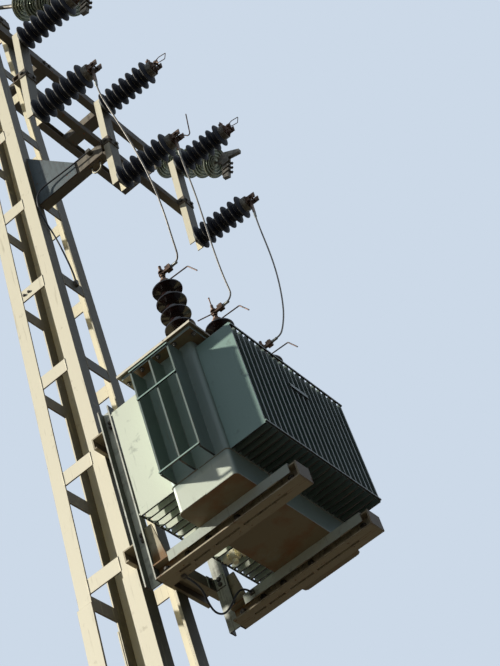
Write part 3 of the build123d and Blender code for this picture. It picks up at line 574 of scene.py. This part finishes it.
# %% [markdown]
# ## Which node wears which finish
# Most nodes follow their slot in the record. A few differ from their neighbours on the real object: the
# skids were painted with the tank, the uprights are slate grey and the knee plate blue-grey. Others differ
# by painted light and shade: the hook and its bar wear the pale cream paint as painted light, and the end
# fins a darker paint as painted shade.

# %% Give each node its finish
SLOT_FINISH = {
    "pole_paint": cream_paint, "dark_steel": arm_paint, "beam_steel": beam_paint,
    "transformer_paint": transformer_paint, "cover_paint": cover_paint, "galvanised_steel": zinc,
    "brown_porcelain": porcelain, "polymer_insulator": rubber_shed, "toughened_glass": glass,
    "copper": tarnished_copper, "brass_valve": valve_brass_with_painted_light, "cable_sheath": black_sheath,
    "bare_lead": lead_wire,
}
NODE_FINISH = {
    "skids": skid_paint, "uprights": upright_paint, "upright_cleats": upright_paint,
    # The end fins wear a darker finish as painted shade.
    "bracket_knee": knee_paint, "tank_body": tank_end_paint, "fins_ends": end_fin_paint,
    "fuse_arc_horn": horn_copper, "mv_arcing_horns": horn_copper, "cable_clips": dull_zinc,
    # The hook and its bar wear the pale cream paint as painted light.
    "hook": cream_paint, "hook_bar": cream_paint, "fuse_insulator_caps": sooty_zinc,
    "string_clamps": sooty_zinc, "string_fittings": sooty_zinc,
}
slot_of = {part["node"]: part["material_slot"] for part in frame["record"]["subparts"]}
for name, piece in nodes.items():
    piece.data.materials.clear()
    piece.data.materials.append(NODE_FINISH.get(name, SLOT_FINISH[slot_of[name]]))
print("Finishes:", len({piece.data.materials[0].name for piece in nodes.values()}))

# %% [markdown]
# ## Solids turned about an axis, and rods that bend
# Bolts, nuts, washers, lugs and studs are all turned or forged about one axis. Blender's own cylinder
# would need a modifier for each chamfer, so a short list of rings, each a radius and a height in
# millimetres, draws the whole outline at once: six sides make a nut, twenty make a washer. A bent rod
# is the same idea along a path, with the ring carried round each corner.

# %% Rings, and the skin between them
TOWARDS_X, TOWARDS_POLE = (1, 0, 0), (-1, 0, 0)
ENDS = (-1, 1)    # the two ends or sides of what repeats as a pair


def ring_of(mesh, centre_mm, side, across, radius_mm, sides):
    """Vertices in a ring about centre_mm, in the plane of side and across."""
    angles = [2 * math.pi * k / sides for k in range(sides)]
    turned = [(side * math.cos(a) + across * math.sin(a)) * radius_mm for a in angles]
    return [mesh.verts.new((centre_mm + spoke) / 1000) for spoke in turned]


def skin(mesh, rings):
    """Faces from each ring to the next, and one across each end."""
    for low, high in zip(rings, rings[1:]):
        sides = len(low)
        for k in range(sides):
            mesh.faces.new((low[k], low[(k + 1) % sides], high[(k + 1) % sides], high[k]))
    mesh.faces.new(rings[0][::-1])
    mesh.faces.new(rings[-1])


def turned_solid(mesh, place, axis, profile, sides):
    """A closed solid in mesh from (radius, height) rings in mm, standing on place along axis."""
    axis = Vector(axis).normalized()
    side = axis.orthogonal().normalized()
    across = axis.cross(side)
    rings = []
    for radius, height in profile:
        rings.append(ring_of(mesh, Vector(place) + axis * height, side, across, radius, sides))
    skin(mesh, rings)


# %% A bolt
WASHER_SIDES, NUT_SIDES, STUD_SIDES = 20, 6, 12


def bolt(mesh, place, axis, size, stud=0):
    """A washer and a hexagon of thread size mm on place, with stud mm of thread beyond it."""
    washer = 0.16 * size
    top = washer + 0.78 * size
    disc = [(1.0 * size, 0), (1.06 * size, 0.3 * washer), (1.06 * size, washer)]
    hexagon = [(0.86 * size, washer), (0.92 * size, washer + 0.08 * size),
               (0.92 * size, washer + 0.66 * size), (0.78 * size, top)]
    turned_solid(mesh, place, axis, disc, WASHER_SIDES)
    turned_solid(mesh, place, axis, hexagon, NUT_SIDES)
    if stud:
        thread = [(0.5 * size, top), (0.5 * size, top + stud - 0.1 * size), (0.38 * size, top + stud)]
        turned_solid(mesh, place, axis, thread, STUD_SIDES)


# %% Bent rods and weld beads
BEAD_SIDES, BEAD_RIPPLE = 6, 0.12


def bent_rod(mesh, path, radius, sides=10, ripple=0.0):
    """A closed rod of radius mm along path; ripple swells every second ring, as a weld does."""
    path = [Vector(point) for point in path]
    ways = [(b - a).normalized() for a, b in zip(path, path[1:])]
    normal = ways[0].orthogonal().normalized()
    rings = []
    for number, point in enumerate(path):
        before, after = ways[max(number - 1, 0)], ways[min(number, len(ways) - 1)]
        middle = (before + after).normalized()
        normal = (normal - middle * normal.dot(middle)).normalized()
        wider = 1 + (ripple if number % 2 else -ripple)
        swell = radius * wider / max(middle.dot(after), 0.5) ** 0.5
        rings.append(ring_of(mesh, point, normal, middle.cross(normal), swell, sides))
    skin(mesh, rings)


def rounded(points, radius, steps=5):
    """The points with each inner corner replaced by a curve that starts radius before it."""
    points = [Vector(point) for point in points]
    path = [points[0]]
    for before, corner, after in zip(points, points[1:], points[2:]):
        start = corner + (before - corner).normalized() * radius
        end = corner + (after - corner).normalized() * radius
        for k in range(steps + 1):
            t = k / steps
            path.append(start * (1 - t) ** 2 + corner * 2 * t * (1 - t) + end * t ** 2)
    return path + [points[-1]]


def weld(mesh, start, end, radius=4):
    """A straight bead with a ripple every 6 mm."""
    start, end = Vector(start), Vector(end)
    count = max(int((end - start).length / 6), 2)
    path = [start.lerp(end, k / count) for k in range(count + 1)]
    bent_rod(mesh, path, radius, BEAD_SIDES, BEAD_RIPPLE)


# %% From a mesh to a piece
def add_piece(name, mesh, finish):
    """Turns the mesh into a smooth shaded object that rides on the pole."""
    data = bpy.data.meshes.new(name)
    mesh.normal_update()
    mesh.to_mesh(data)
    mesh.free()
    for polygon in data.polygons:
        polygon.use_smooth = True
    data.set_sharp_from_angle(angle=math.radians(35))
    data.materials.append(finish)
    piece = into_scene(name, data)
    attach(piece, "root")
    data.calc_loop_triangles()
    print(name, len(data.loop_triangles), "triangles")


# %% [markdown]
# ## Welds and bolts of the pole
# Each batten is welded to the legs at both ends, and the two sections of each leg, which lap over half
# a metre, are welded round the lower one's end. A weld could be a painted line, but it stands proud
# and catches the light, so it is a thin rippled rod. The faces lean in by 8.5 mm a metre, so each bead's
# place is worked out at its own height. Four nuts on the base plate hold the pole down, and one batten
# has two small bolts of its own.

# %% The pole's sizes
POLE_TOP, TOP_HALF, LEAN_RATIO = 11300, 145.7805, 0.008515
LAP_Z, LEG_T = 6286, 8
LOWER_LEG, UPPER_LEG = 90, 80
FOOT_WELD, LAP_WELD = LOWER_LEG - 2, UPPER_LEG - 2
BATTEN_LEVELS = [6380 + 683 * n for n in range(-9, 8)]
BATTEN_HALF_H = 42
BASE_T, ANCHOR = 20, 285
BOLTED_BATTEN_Z = 8429


def half_width(z):
    """Half the pole's width at height z: the upper section stands inside the lower one."""
    return TOP_HALF + LEAN_RATIO * (POLE_TOP - z) - (LEG_T if z > LAP_Z else 0)


def on_face(quarter, along, out, z):
    """A place on one of the pole's four faces."""
    return Matrix.Rotation(math.radians(90 * quarter), 3, "Z") @ Vector((along, -out, z))


# %% Pole
pole_bolts, pole_welds = bmesh.new(), bmesh.new()
for quarter in range(4):
    for z in BATTEN_LEVELS:
        h = half_width(z)
        edge = h - (UPPER_LEG if z > LAP_Z else LOWER_LEG)
        for side in ENDS:
            foot = on_face(quarter, side * edge, h, z - BATTEN_HALF_H)
            head = on_face(quarter, side * edge, h, z + BATTEN_HALF_H)
            weld(pole_welds, foot, head, 3)
    h = half_width(LAP_Z + 1)
    for side in ENDS:
        inner = on_face(quarter, side * (h - LAP_WELD), h, LAP_Z)
        outer = on_face(quarter, side * (h - 2), h, LAP_Z)
        weld(pole_welds, inner, outer, 4)
h = half_width(BASE_T)
for sx in ENDS:
    for sy in ENDS:
        bolt(pole_bolts, (sx * ANCHOR, sy * ANCHOR, BASE_T), UP, 24, 36)
        corner = (sx * h, sy * h, BASE_T)
        weld(pole_welds, (sx * h, sy * (h - FOOT_WELD), BASE_T), corner, 5)
        weld(pole_welds, (sx * (h - FOOT_WELD), sy * h, BASE_T), corner, 5)
for x in (-28, -62):
    bolt(pole_bolts, (x, -half_width(BOLTED_BATTEN_Z), BOLTED_BATTEN_Z), (0, -1, 0), 9)
add_piece("pole_bolts", pole_bolts, dull_zinc)
add_piece("pole_welds", pole_welds, cream_paint)

# %% [markdown]
# ## Bolts and welds of the frame under the tank
# The beams are pairs of channels with packings between them, so a bolt goes through each packing, head
# on one side and nut on the other. Cleats take two bolts to each part they join. Knee plates and end
# plates are welded, and weld metal always leaves a raised bead, so each joint gets one.

# %% The frame's sizes
BEAM_Y, BEAM_TOP, BEAM_MIDDLE, BEAM_BOTTOM = (-271, 288), 6123, 6083, 6043
BEAM_FACE, HALF_GAP = 12.5, 6.5
PACKING_X = (404, 528, 649, 815, 1124)
CROSS_TOPS = (6359, 7079)
CLEAT_FACE_X, POST_MIDDLE_X, POST_FACE_X = 293, 322, 357
CLEAT_BOLT_DROPS, CLEAT_BOLT_IN, WEB_T = (20, 50), 38, 6
KNEE_Y, KNEE_HALF_T, KNEE_UP, KNEE_OUT = 29, 4, 222, 73
END_PLATE_X, END_PLATE_HALF = 1179, 51.5
SKID_EDGE, SKID_WELD_X, SKID_WELD_Z, SKID_WELD = 63, (500, 760, 1020), 6075, 60

# %% Frame
frame_bolts, frame_welds = bmesh.new(), bmesh.new()
for y, out in zip(BEAM_Y, ENDS):
    for x in PACKING_X:
        for side in ENDS:
            thread = 6 if side == out else 0
            bolt(frame_bolts, (x, y + side * BEAM_FACE, BEAM_MIDDLE), (0, side, 0), 16, thread)
    back = y + out * HALF_GAP
    for top in CROSS_TOPS:
        for drop in CLEAT_BOLT_DROPS:
            z = top - drop
            bolt(frame_bolts, (CLEAT_FACE_X, back - out * CLEAT_BOLT_IN, z), TOWARDS_X, 12)
            bolt(frame_bolts, (POST_MIDDLE_X, back - out * WEB_T, z), (0, -out, 0), 12)
            bolt(frame_bolts, (POST_MIDDLE_X, back + out * WEB_T, z), (0, out, 0), 12, 5)
    plate = y + out * KNEE_Y
    for face in (plate - KNEE_HALF_T, plate + KNEE_HALF_T):
        weld(frame_welds, (POST_FACE_X, face, BEAM_TOP + 3), (POST_FACE_X, face, BEAM_TOP + KNEE_UP), 4)
        weld(frame_welds, (POST_FACE_X + 3, face, BEAM_TOP), (POST_FACE_X + KNEE_OUT, face, BEAM_TOP), 4)
    for edge in (y - END_PLATE_HALF, y + END_PLATE_HALF):
        weld(frame_welds, (END_PLATE_X, edge, BEAM_BOTTOM + 2), (END_PLATE_X, edge, BEAM_TOP - 2), 3)
    left, right = y - END_PLATE_HALF + 1.5, y + END_PLATE_HALF - 1.5
    weld(frame_welds, (END_PLATE_X, left, BEAM_BOTTOM), (END_PLATE_X, right, BEAM_BOTTOM), 3)
    for x in SKID_WELD_X:
        for edge in (y - SKID_EDGE, y + SKID_EDGE):
            weld(frame_welds, (x, edge, SKID_WELD_Z), (x + SKID_WELD, edge, SKID_WELD_Z), 3)
add_piece("frame_bolts", frame_bolts, dull_zinc)
add_piece("frame_welds", frame_welds, beam_paint)

# %% [markdown]
# ## Tank seams and the bolted cover
# The tank's corrugated wall is welded to a plain lower box, and the bead shows as a line right round
# under the fins. A second bead runs round the foot of the box. The cover is clamped on a gasket by a
# ring of bolts: heads above, nuts with a little thread below the flange. The heads leave out the
# places where the lifting lugs stand.

# %% Tank
TANK_X, TANK_HALF_X, TANK_HALF_Y, TANK_CORNER = 812, 165, 478, 23
ROUND_THE_TANK = ((1, -1), (1, 1), (-1, 1), (-1, -1))
SEAM_LEVELS, SEAM_RIPPLE = (6281, 6131), 7
END_FIN_X, END_FIN_HALF_T, END_FIN_FOOT, END_FIN_HEAD = (-132, -19, 94), 4.5, 6284, 6938
tank_welds = bmesh.new()
for z in SEAM_LEVELS:
    start = (TANK_X, -TANK_HALF_Y, z)
    corners = [(TANK_X + sx * TANK_HALF_X, sy * TANK_HALF_Y, z) for sx, sy in ROUND_THE_TANK]
    path = rounded([start] + corners + [start], TANK_CORNER)
    bead = []
    for a, b in zip(path, path[1:]):
        count = max(int((b - a).length / SEAM_RIPPLE), 1)
        bead += [a.lerp(b, k / count) for k in range(count)]
    bent_rod(tank_welds, bead, 4, BEAD_SIDES, BEAD_RIPPLE)
for fin in END_FIN_X:
    for sy in ENDS:
        for side in ENDS:
            x, y = TANK_X + fin + side * END_FIN_HALF_T, sy * TANK_HALF_Y
            weld(tank_welds, (x, y, END_FIN_FOOT), (x, y, END_FIN_HEAD), 2.5)
add_piece("tank_welds", tank_welds, tank_end_paint)

# %% Cover bolts
COVER_TOP_Z, FLANGE_UNDER_Z = 6997, 6965
RING_HALF_X, RING_HALF_Y, RING_PITCH = 200, 524, 100
LUG_CLEAR_X, LUG_CLEAR_Y = 60, 25
LUGS = [(654, 400), (654, -400), (970, 215), (970, -215)]
cover_bolts = bmesh.new()
ring = [(TANK_X + sx * RING_HALF_X, -500 + RING_PITCH * k) for sx in ENDS for k in range(11)]
ring += [(TANK_X - 100 + RING_PITCH * k, sy * RING_HALF_Y) for sy in ENDS for k in range(3)]
for x, y in ring:
    if all(abs(x - lug_x) > LUG_CLEAR_X or abs(y - lug_y) > LUG_CLEAR_Y for lug_x, lug_y in LUGS):
        bolt(cover_bolts, (x, y, COVER_TOP_Z), UP, 12)
    bolt(cover_bolts, (x, y, FLANGE_UNDER_Z), DOWN, 12, 7)
add_piece("cover_bolts", cover_bolts, dull_zinc)

# %% [markdown]
# ## Bushing clamps and terminals
# Each tall bushing is held by four claws that press on its foot ring, and each claw has its own stud.
# A claw is cast, with a rounded nose, so it is drawn as a round rod bent over the ring. On top, two nuts
# lock the terminal bar on its stud. Each short bushing has two nuts on its stud.

# %% Bushings
TALL_X, TALL_Y, CLAW_OUT = 919, (-425, -10, 405), 80
CLAW_HEEL, CLAW_NOSE, CLAW_H = 12, 24, 18
TERMINAL_Z, STUD_FOOT_Z, BAR_X = 7524, 7470, 965
SHORT_X, SHORT_Y, SHORT_NUTS = 665, (-300, -170, -40, 90), (7155, 7176)
clamps, terminal_nuts = bmesh.new(), bmesh.new()
for y in TALL_Y:
    for k in range(4):
        a = math.radians(45 + 90 * k)
        out = Vector((math.cos(a), math.sin(a), 0))
        foot = Vector((TALL_X, y, COVER_TOP_Z)) + out * CLAW_OUT
        heel = foot + out * CLAW_HEEL
        nose = foot - out * CLAW_NOSE + Vector((0, 0, CLAW_H + 1))
        bent_rod(clamps, rounded([heel, heel + Vector((0, 0, CLAW_H)), nose], 8), 5, 8)
        bolt(clamps, foot + Vector((0, 0, CLAW_H + 3)), UP, 10, 8)
        turned_solid(clamps, foot, UP, [(5, 0), (5, CLAW_H + 5)], STUD_SIDES)
    bolt(terminal_nuts, (TALL_X, y, TERMINAL_Z + 8), UP, 16)
    bolt(terminal_nuts, (TALL_X, y, TERMINAL_Z - 8), DOWN, 16)
    bolt(terminal_nuts, (BAR_X, y, TERMINAL_Z + 15), UP, 10)
    bolt(terminal_nuts, (TALL_X, y, STUD_FOOT_Z), UP, 18)
for y in SHORT_Y:
    for z in SHORT_NUTS:
        bolt(terminal_nuts, (SHORT_X, y, z), UP, 20)
add_piece("bushing_clamps", clamps, dull_zinc)
add_piece("terminal_nuts", terminal_nuts, tarnished_copper)

# %% [markdown]
# ## Fuse bases
# The whole fuse arm leans by 3.8 degrees, so its fittings are placed in the arm's own frame and turned
# with it. Each strap has a bolt at each side and two through the base, and each insulator a nut behind
# it. Small screws hold each jaw to its cap, and a pin goes through both its plates. Each upper jaw has
# an eye of bent wire for an operating pole, and on its cap stands a two-bolt clamp.

# %% A place and a direction in the leaning frame
FUSE_X, FUSE_Y, FUSE_Z, FUSE_PITCH = 677, -33, 9180, 695
LEAN = Matrix.Rotation(math.radians(3.8), 3, "Y")


def lean_place(number, x, y, z):
    """A place on fuse base number 0, 1 or 2, from the middle of its back."""
    return LEAN @ Vector((x, y, z)) + Vector((FUSE_X, FUSE_Y + FUSE_PITCH * (number - 1), FUSE_Z))


def lean_way(x, y, z):
    """A direction in the leaning frame."""
    return LEAN @ Vector((x, y, z))


# %% Bolts of the bases, and fittings of the jaws
STRAP_Y, BASE_BOLT_X, BASE_BOLT_Y, NUT_X = 45, 26, 24, 16
TIP, JAW_Z, LOWER_JAW_Z, SCREW = 404, 331, -325, 21
SCREW_X, PIN_X, CLAMP_X = TIP + 6, TIP + 34, TIP - 16
CLAMP_FOOT_Z, CLAMP_TOP_Z, CLAMP_Y = JAW_Z + 44, JAW_Z + 68, 13
EYE_WIRE = [(42, 4), (70, 12), (118, 4), (104, -38), (60, -30), (42, -8)]
CLAMP_BODY = [(11, 0), (15, 4), (15, 20), (11, 24)]
outward, backward, upward = lean_way(1, 0, 0), lean_way(-1, 0, 0), lean_way(0, 0, 1)
fuse_bolts, jaw_fittings = bmesh.new(), bmesh.new()
for number in range(3):
    for side in ENDS:
        bolt(fuse_bolts, lean_place(number, 0, side * STRAP_Y, 0), lean_way(0, side, 0), 12)
        bolt(fuse_bolts, lean_place(number, BASE_BOLT_X, side * BASE_BOLT_Y, 0), outward, 12)
    for end in ENDS:
        bolt(fuse_bolts, lean_place(number, NUT_X, 0, end * JAW_Z), backward, 16)
        # The lower jaw has only its two upper screws.
        for level in ENDS if end > 0 else (1,):
            for side in ENDS:
                z = end * JAW_Z + level * SCREW
                bolt(jaw_fittings, lean_place(number, SCREW_X, side * SCREW, z), outward, 7)
    for z, half in ((JAW_Z, 26), (LOWER_JAW_Z, 28)):
        bent_rod(jaw_fittings, [lean_place(number, PIN_X, side * half, z) for side in ENDS], 5, 12)
        for side in ENDS:
            bolt(jaw_fittings, lean_place(number, PIN_X, side * (half - 4), z), lean_way(0, side, 0), 10)
    eye = [lean_place(number, TIP + x, -27, JAW_Z + z) for x, z in EYE_WIRE]
    bent_rod(jaw_fittings, rounded(eye, 6), 2.5, 8)
    for side in ENDS:
        y = side * CLAMP_Y
        turned_solid(jaw_fittings, lean_place(number, CLAMP_X, y, CLAMP_FOOT_Z), upward, CLAMP_BODY, 8)
        bolt(jaw_fittings, lean_place(number, CLAMP_X, y, CLAMP_TOP_Z), upward, 9, 10)
add_piece("fuse_bolts", fuse_bolts, dull_zinc)
add_piece("jaw_fittings", jaw_fittings, tarnished_copper)

# %% [markdown]
# ## Bracket, crossarm and strings
# The bracket is welded to the pole. The crossarm's channels are bolted through its ties and to the
# legs. On the tail of each strain clamp three U-bolts press a keeper down on the clamp's own groove. A
# U-bolt is a bent rod with a nut on each end, so that is how it is drawn.

# %% Crossarm and bracket
ARM_FACE_X, ARM_MIDDLE_Z, ARM_BOLT_Y = 191.0, 10960, (-988, -397, -110, 110, 397, 988)
LEG_BOLT_Y, TIE_BOLT_SHIFT = 110, 24
HEAD_STRAP_X, HEAD_STRAP_Y, HEAD_STRAP_Z = 148.8, 60, 11217
BRACKET_WALLS, BRACKET_FOOT_Z, BRACKET_MIDDLE_Z, BRACKET_TOP_Z = (-102, -38), 9066, 9110, 9155
BASE_PLATE_EDGES, BASE_PLATE_X, BASE_PLATE_Z = (-90, -46), (521, 613), 9061
KNEE_FACE_Y, KNEE_FOOT_Z, KNEE_TOP_Z = -110, 9170, 9505
arm_bolts, arm_welds = bmesh.new(), bmesh.new()
for side in ENDS:
    for y in ARM_BOLT_Y:
        # A tie takes a pair of bolts, and a leg takes one.
        for shift in ((-TIE_BOLT_SHIFT, TIE_BOLT_SHIFT) if abs(y) > LEG_BOLT_Y else (0,)):
            bolt(arm_bolts, (side * ARM_FACE_X, y + shift, ARM_MIDDLE_Z), (side, 0, 0), 14)
    bolt(arm_bolts, (HEAD_STRAP_X, side * HEAD_STRAP_Y, HEAD_STRAP_Z), TOWARDS_X, 14)
wall_x = half_width(BRACKET_MIDDLE_Z)
for y in BRACKET_WALLS:
    weld(arm_welds, (wall_x, y, BRACKET_FOOT_Z + 2), (wall_x, y, BRACKET_TOP_Z), 4)
foot_x = half_width(BRACKET_FOOT_Z)
weld(arm_welds, (foot_x, -100, BRACKET_FOOT_Z), (foot_x, -40, BRACKET_FOOT_Z), 4)
knee_foot = (half_width(KNEE_FOOT_Z + 10), KNEE_FACE_Y, KNEE_FOOT_Z)
knee_top = (half_width(KNEE_TOP_Z - 5), KNEE_FACE_Y, KNEE_TOP_Z)
weld(arm_welds, knee_foot, knee_top, 4)
left, right = BASE_PLATE_X
for y in BASE_PLATE_EDGES:
    weld(arm_welds, (left, y, BASE_PLATE_Z), (right, y, BASE_PLATE_Z), 3)
for x in (left + 15, right - 15):
    turned_solid(arm_bolts, (x, -70, BASE_PLATE_Z - 1), DOWN, [(9, 0), (9, 6), (7, 8)], NUT_SIDES)
add_piece("arm_bolts", arm_bolts, dull_zinc)
add_piece("arm_welds", arm_welds, arm_paint)

# %% U-bolts on the strain clamps
STRING_ENDS = [(606.0, -1590, 10460.0), (799.4, -60, 10570.5), (606.0, 1590, 10460.0)]
U_BOLT_LEVELS, U_BOLT_HALF, KEEPER_HALF = (-75, -112, -150), 19, 27
u_bolts = bmesh.new()
for x, y, z in STRING_ENDS:
    for level in U_BOLT_LEVELS:
        # The clamp leans and tapers: its edges run 42 mm in 145 and 53 mm in 161, from 35 mm down.
        left = x + 34 + (level + 35) * 42 / 145 - 3
        right = x + 89 + (level + 35) * 53 / 161
        height = z + level
        near, far = y - U_BOLT_HALF, y + U_BOLT_HALF
        loop = [(right + 16, near, height), (left - 1, near, height),
                (left - 1, far, height), (right + 16, far, height)]
        bent_rod(u_bolts, rounded(loop, 12), 4)
        keeper = [(right + 4, y + side * KEEPER_HALF, height) for side in ENDS]
        bent_rod(u_bolts, keeper, 7, 8)
        for side in ENDS:
            bolt(u_bolts, (right + 9, y + side * U_BOLT_HALF, height), TOWARDS_X, 8)
add_piece("clamp_u_bolts", u_bolts, dull_zinc)

# %% [markdown]
# ## Lugs of the leads, rods, valve and filler
# A stranded wire ends in a tinned lug, a tube squeezed on it in three bites, so its outline goes in and
# out. The second bushing has two straight rods beside its terminal. The valve's body has flats for a
# spanner and a capped outlet, and the filler's cap has grips round it.

# %% Lugs and rods
CRIMP = [(6.4, 0), (8, 2), (8, 11), (6.9, 14), (8, 17), (6.9, 20), (8, 23), (6.9, 26), (8, 29),
         (8, 34), (6.2, 38), (5, 40)]
LEAD_ENDS = ((-728, -425), (-33, -10), (662, 405))
LEAD_TOP_X, LEAD_TOP_Z, LEAD_FOOT_X = 1069.2, 8716.9, 980
LEAD_TOP_WAY = (-4, 0, -59.9)
ROD_FOOT_Z, ROD_TOP_Z, SIDE_ROD_TIP = 7570, 7630, (818, 7549)
lead_lugs, small_rods = bmesh.new(), bmesh.new()
for y_top, y_foot in LEAD_ENDS:
    turned_solid(lead_lugs, (LEAD_TOP_X, y_top, LEAD_TOP_Z), LEAD_TOP_WAY, CRIMP, 16)
    turned_solid(lead_lugs, (LEAD_FOOT_X, y_foot, TERMINAL_Z), TOWARDS_X, CRIMP, 16)
middle_y = TALL_Y[1]
tip_x, tip_z = SIDE_ROD_TIP
bent_rod(small_rods, [(TALL_X, middle_y, ROD_FOOT_Z), (TALL_X, middle_y, ROD_TOP_Z)], 3.5)
bent_rod(small_rods, [(tip_x, middle_y, tip_z), (TALL_X - 11, middle_y, TERMINAL_Z)], 3.5)
turned_solid(small_rods, (TALL_X, middle_y, ROD_TOP_Z - 2), UP, [(3, 0), (5, 3), (5, 6), (2, 9)], 12)
add_piece("lead_lugs", lead_lugs, zinc)
add_piece("small_rods", small_rods, horn_copper)

# %% Valve and filler
VALVE_Z, OUTLET_X, END_CAP_X = 6165, 590, 543
FILLER_X, FILLER_Y, FILLER_Z = 792, 480, 7092
GRIPS, GRIP_CIRCLE = 18, 29
brass_parts, filler_grips = bmesh.new(), bmesh.new()
SPANNER_FLATS = [(29, 36), (31, 38), (31, 58), (29, 60)]
OUTLET = [(12, 0), (12, 30), (16, 30), (16, 34), (14, 44), (8, 46)]
SQUARE_CAP = [(9, 0), (9, 12), (8, 14)]
turned_solid(brass_parts, (TANK_X - TANK_HALF_X, 0, VALVE_Z), TOWARDS_POLE, SPANNER_FLATS, NUT_SIDES)
turned_solid(brass_parts, (OUTLET_X, 0, VALVE_Z), DOWN, OUTLET, 14)
turned_solid(brass_parts, (END_CAP_X, 0, VALVE_Z), TOWARDS_POLE, SQUARE_CAP, 4)
for k in range(GRIPS):
    a = 2 * math.pi * k / GRIPS
    grip = (FILLER_X + GRIP_CIRCLE * math.cos(a), FILLER_Y + GRIP_CIRCLE * math.sin(a), FILLER_Z)
    turned_solid(filler_grips, grip, UP, [(2.2, 0), (3, 2), (3, 23), (2.2, 25)], 8)
add_piece("valve_fittings", brass_parts, valve_brass_with_painted_light)
add_piece("filler_grips", filler_grips, transformer_paint)
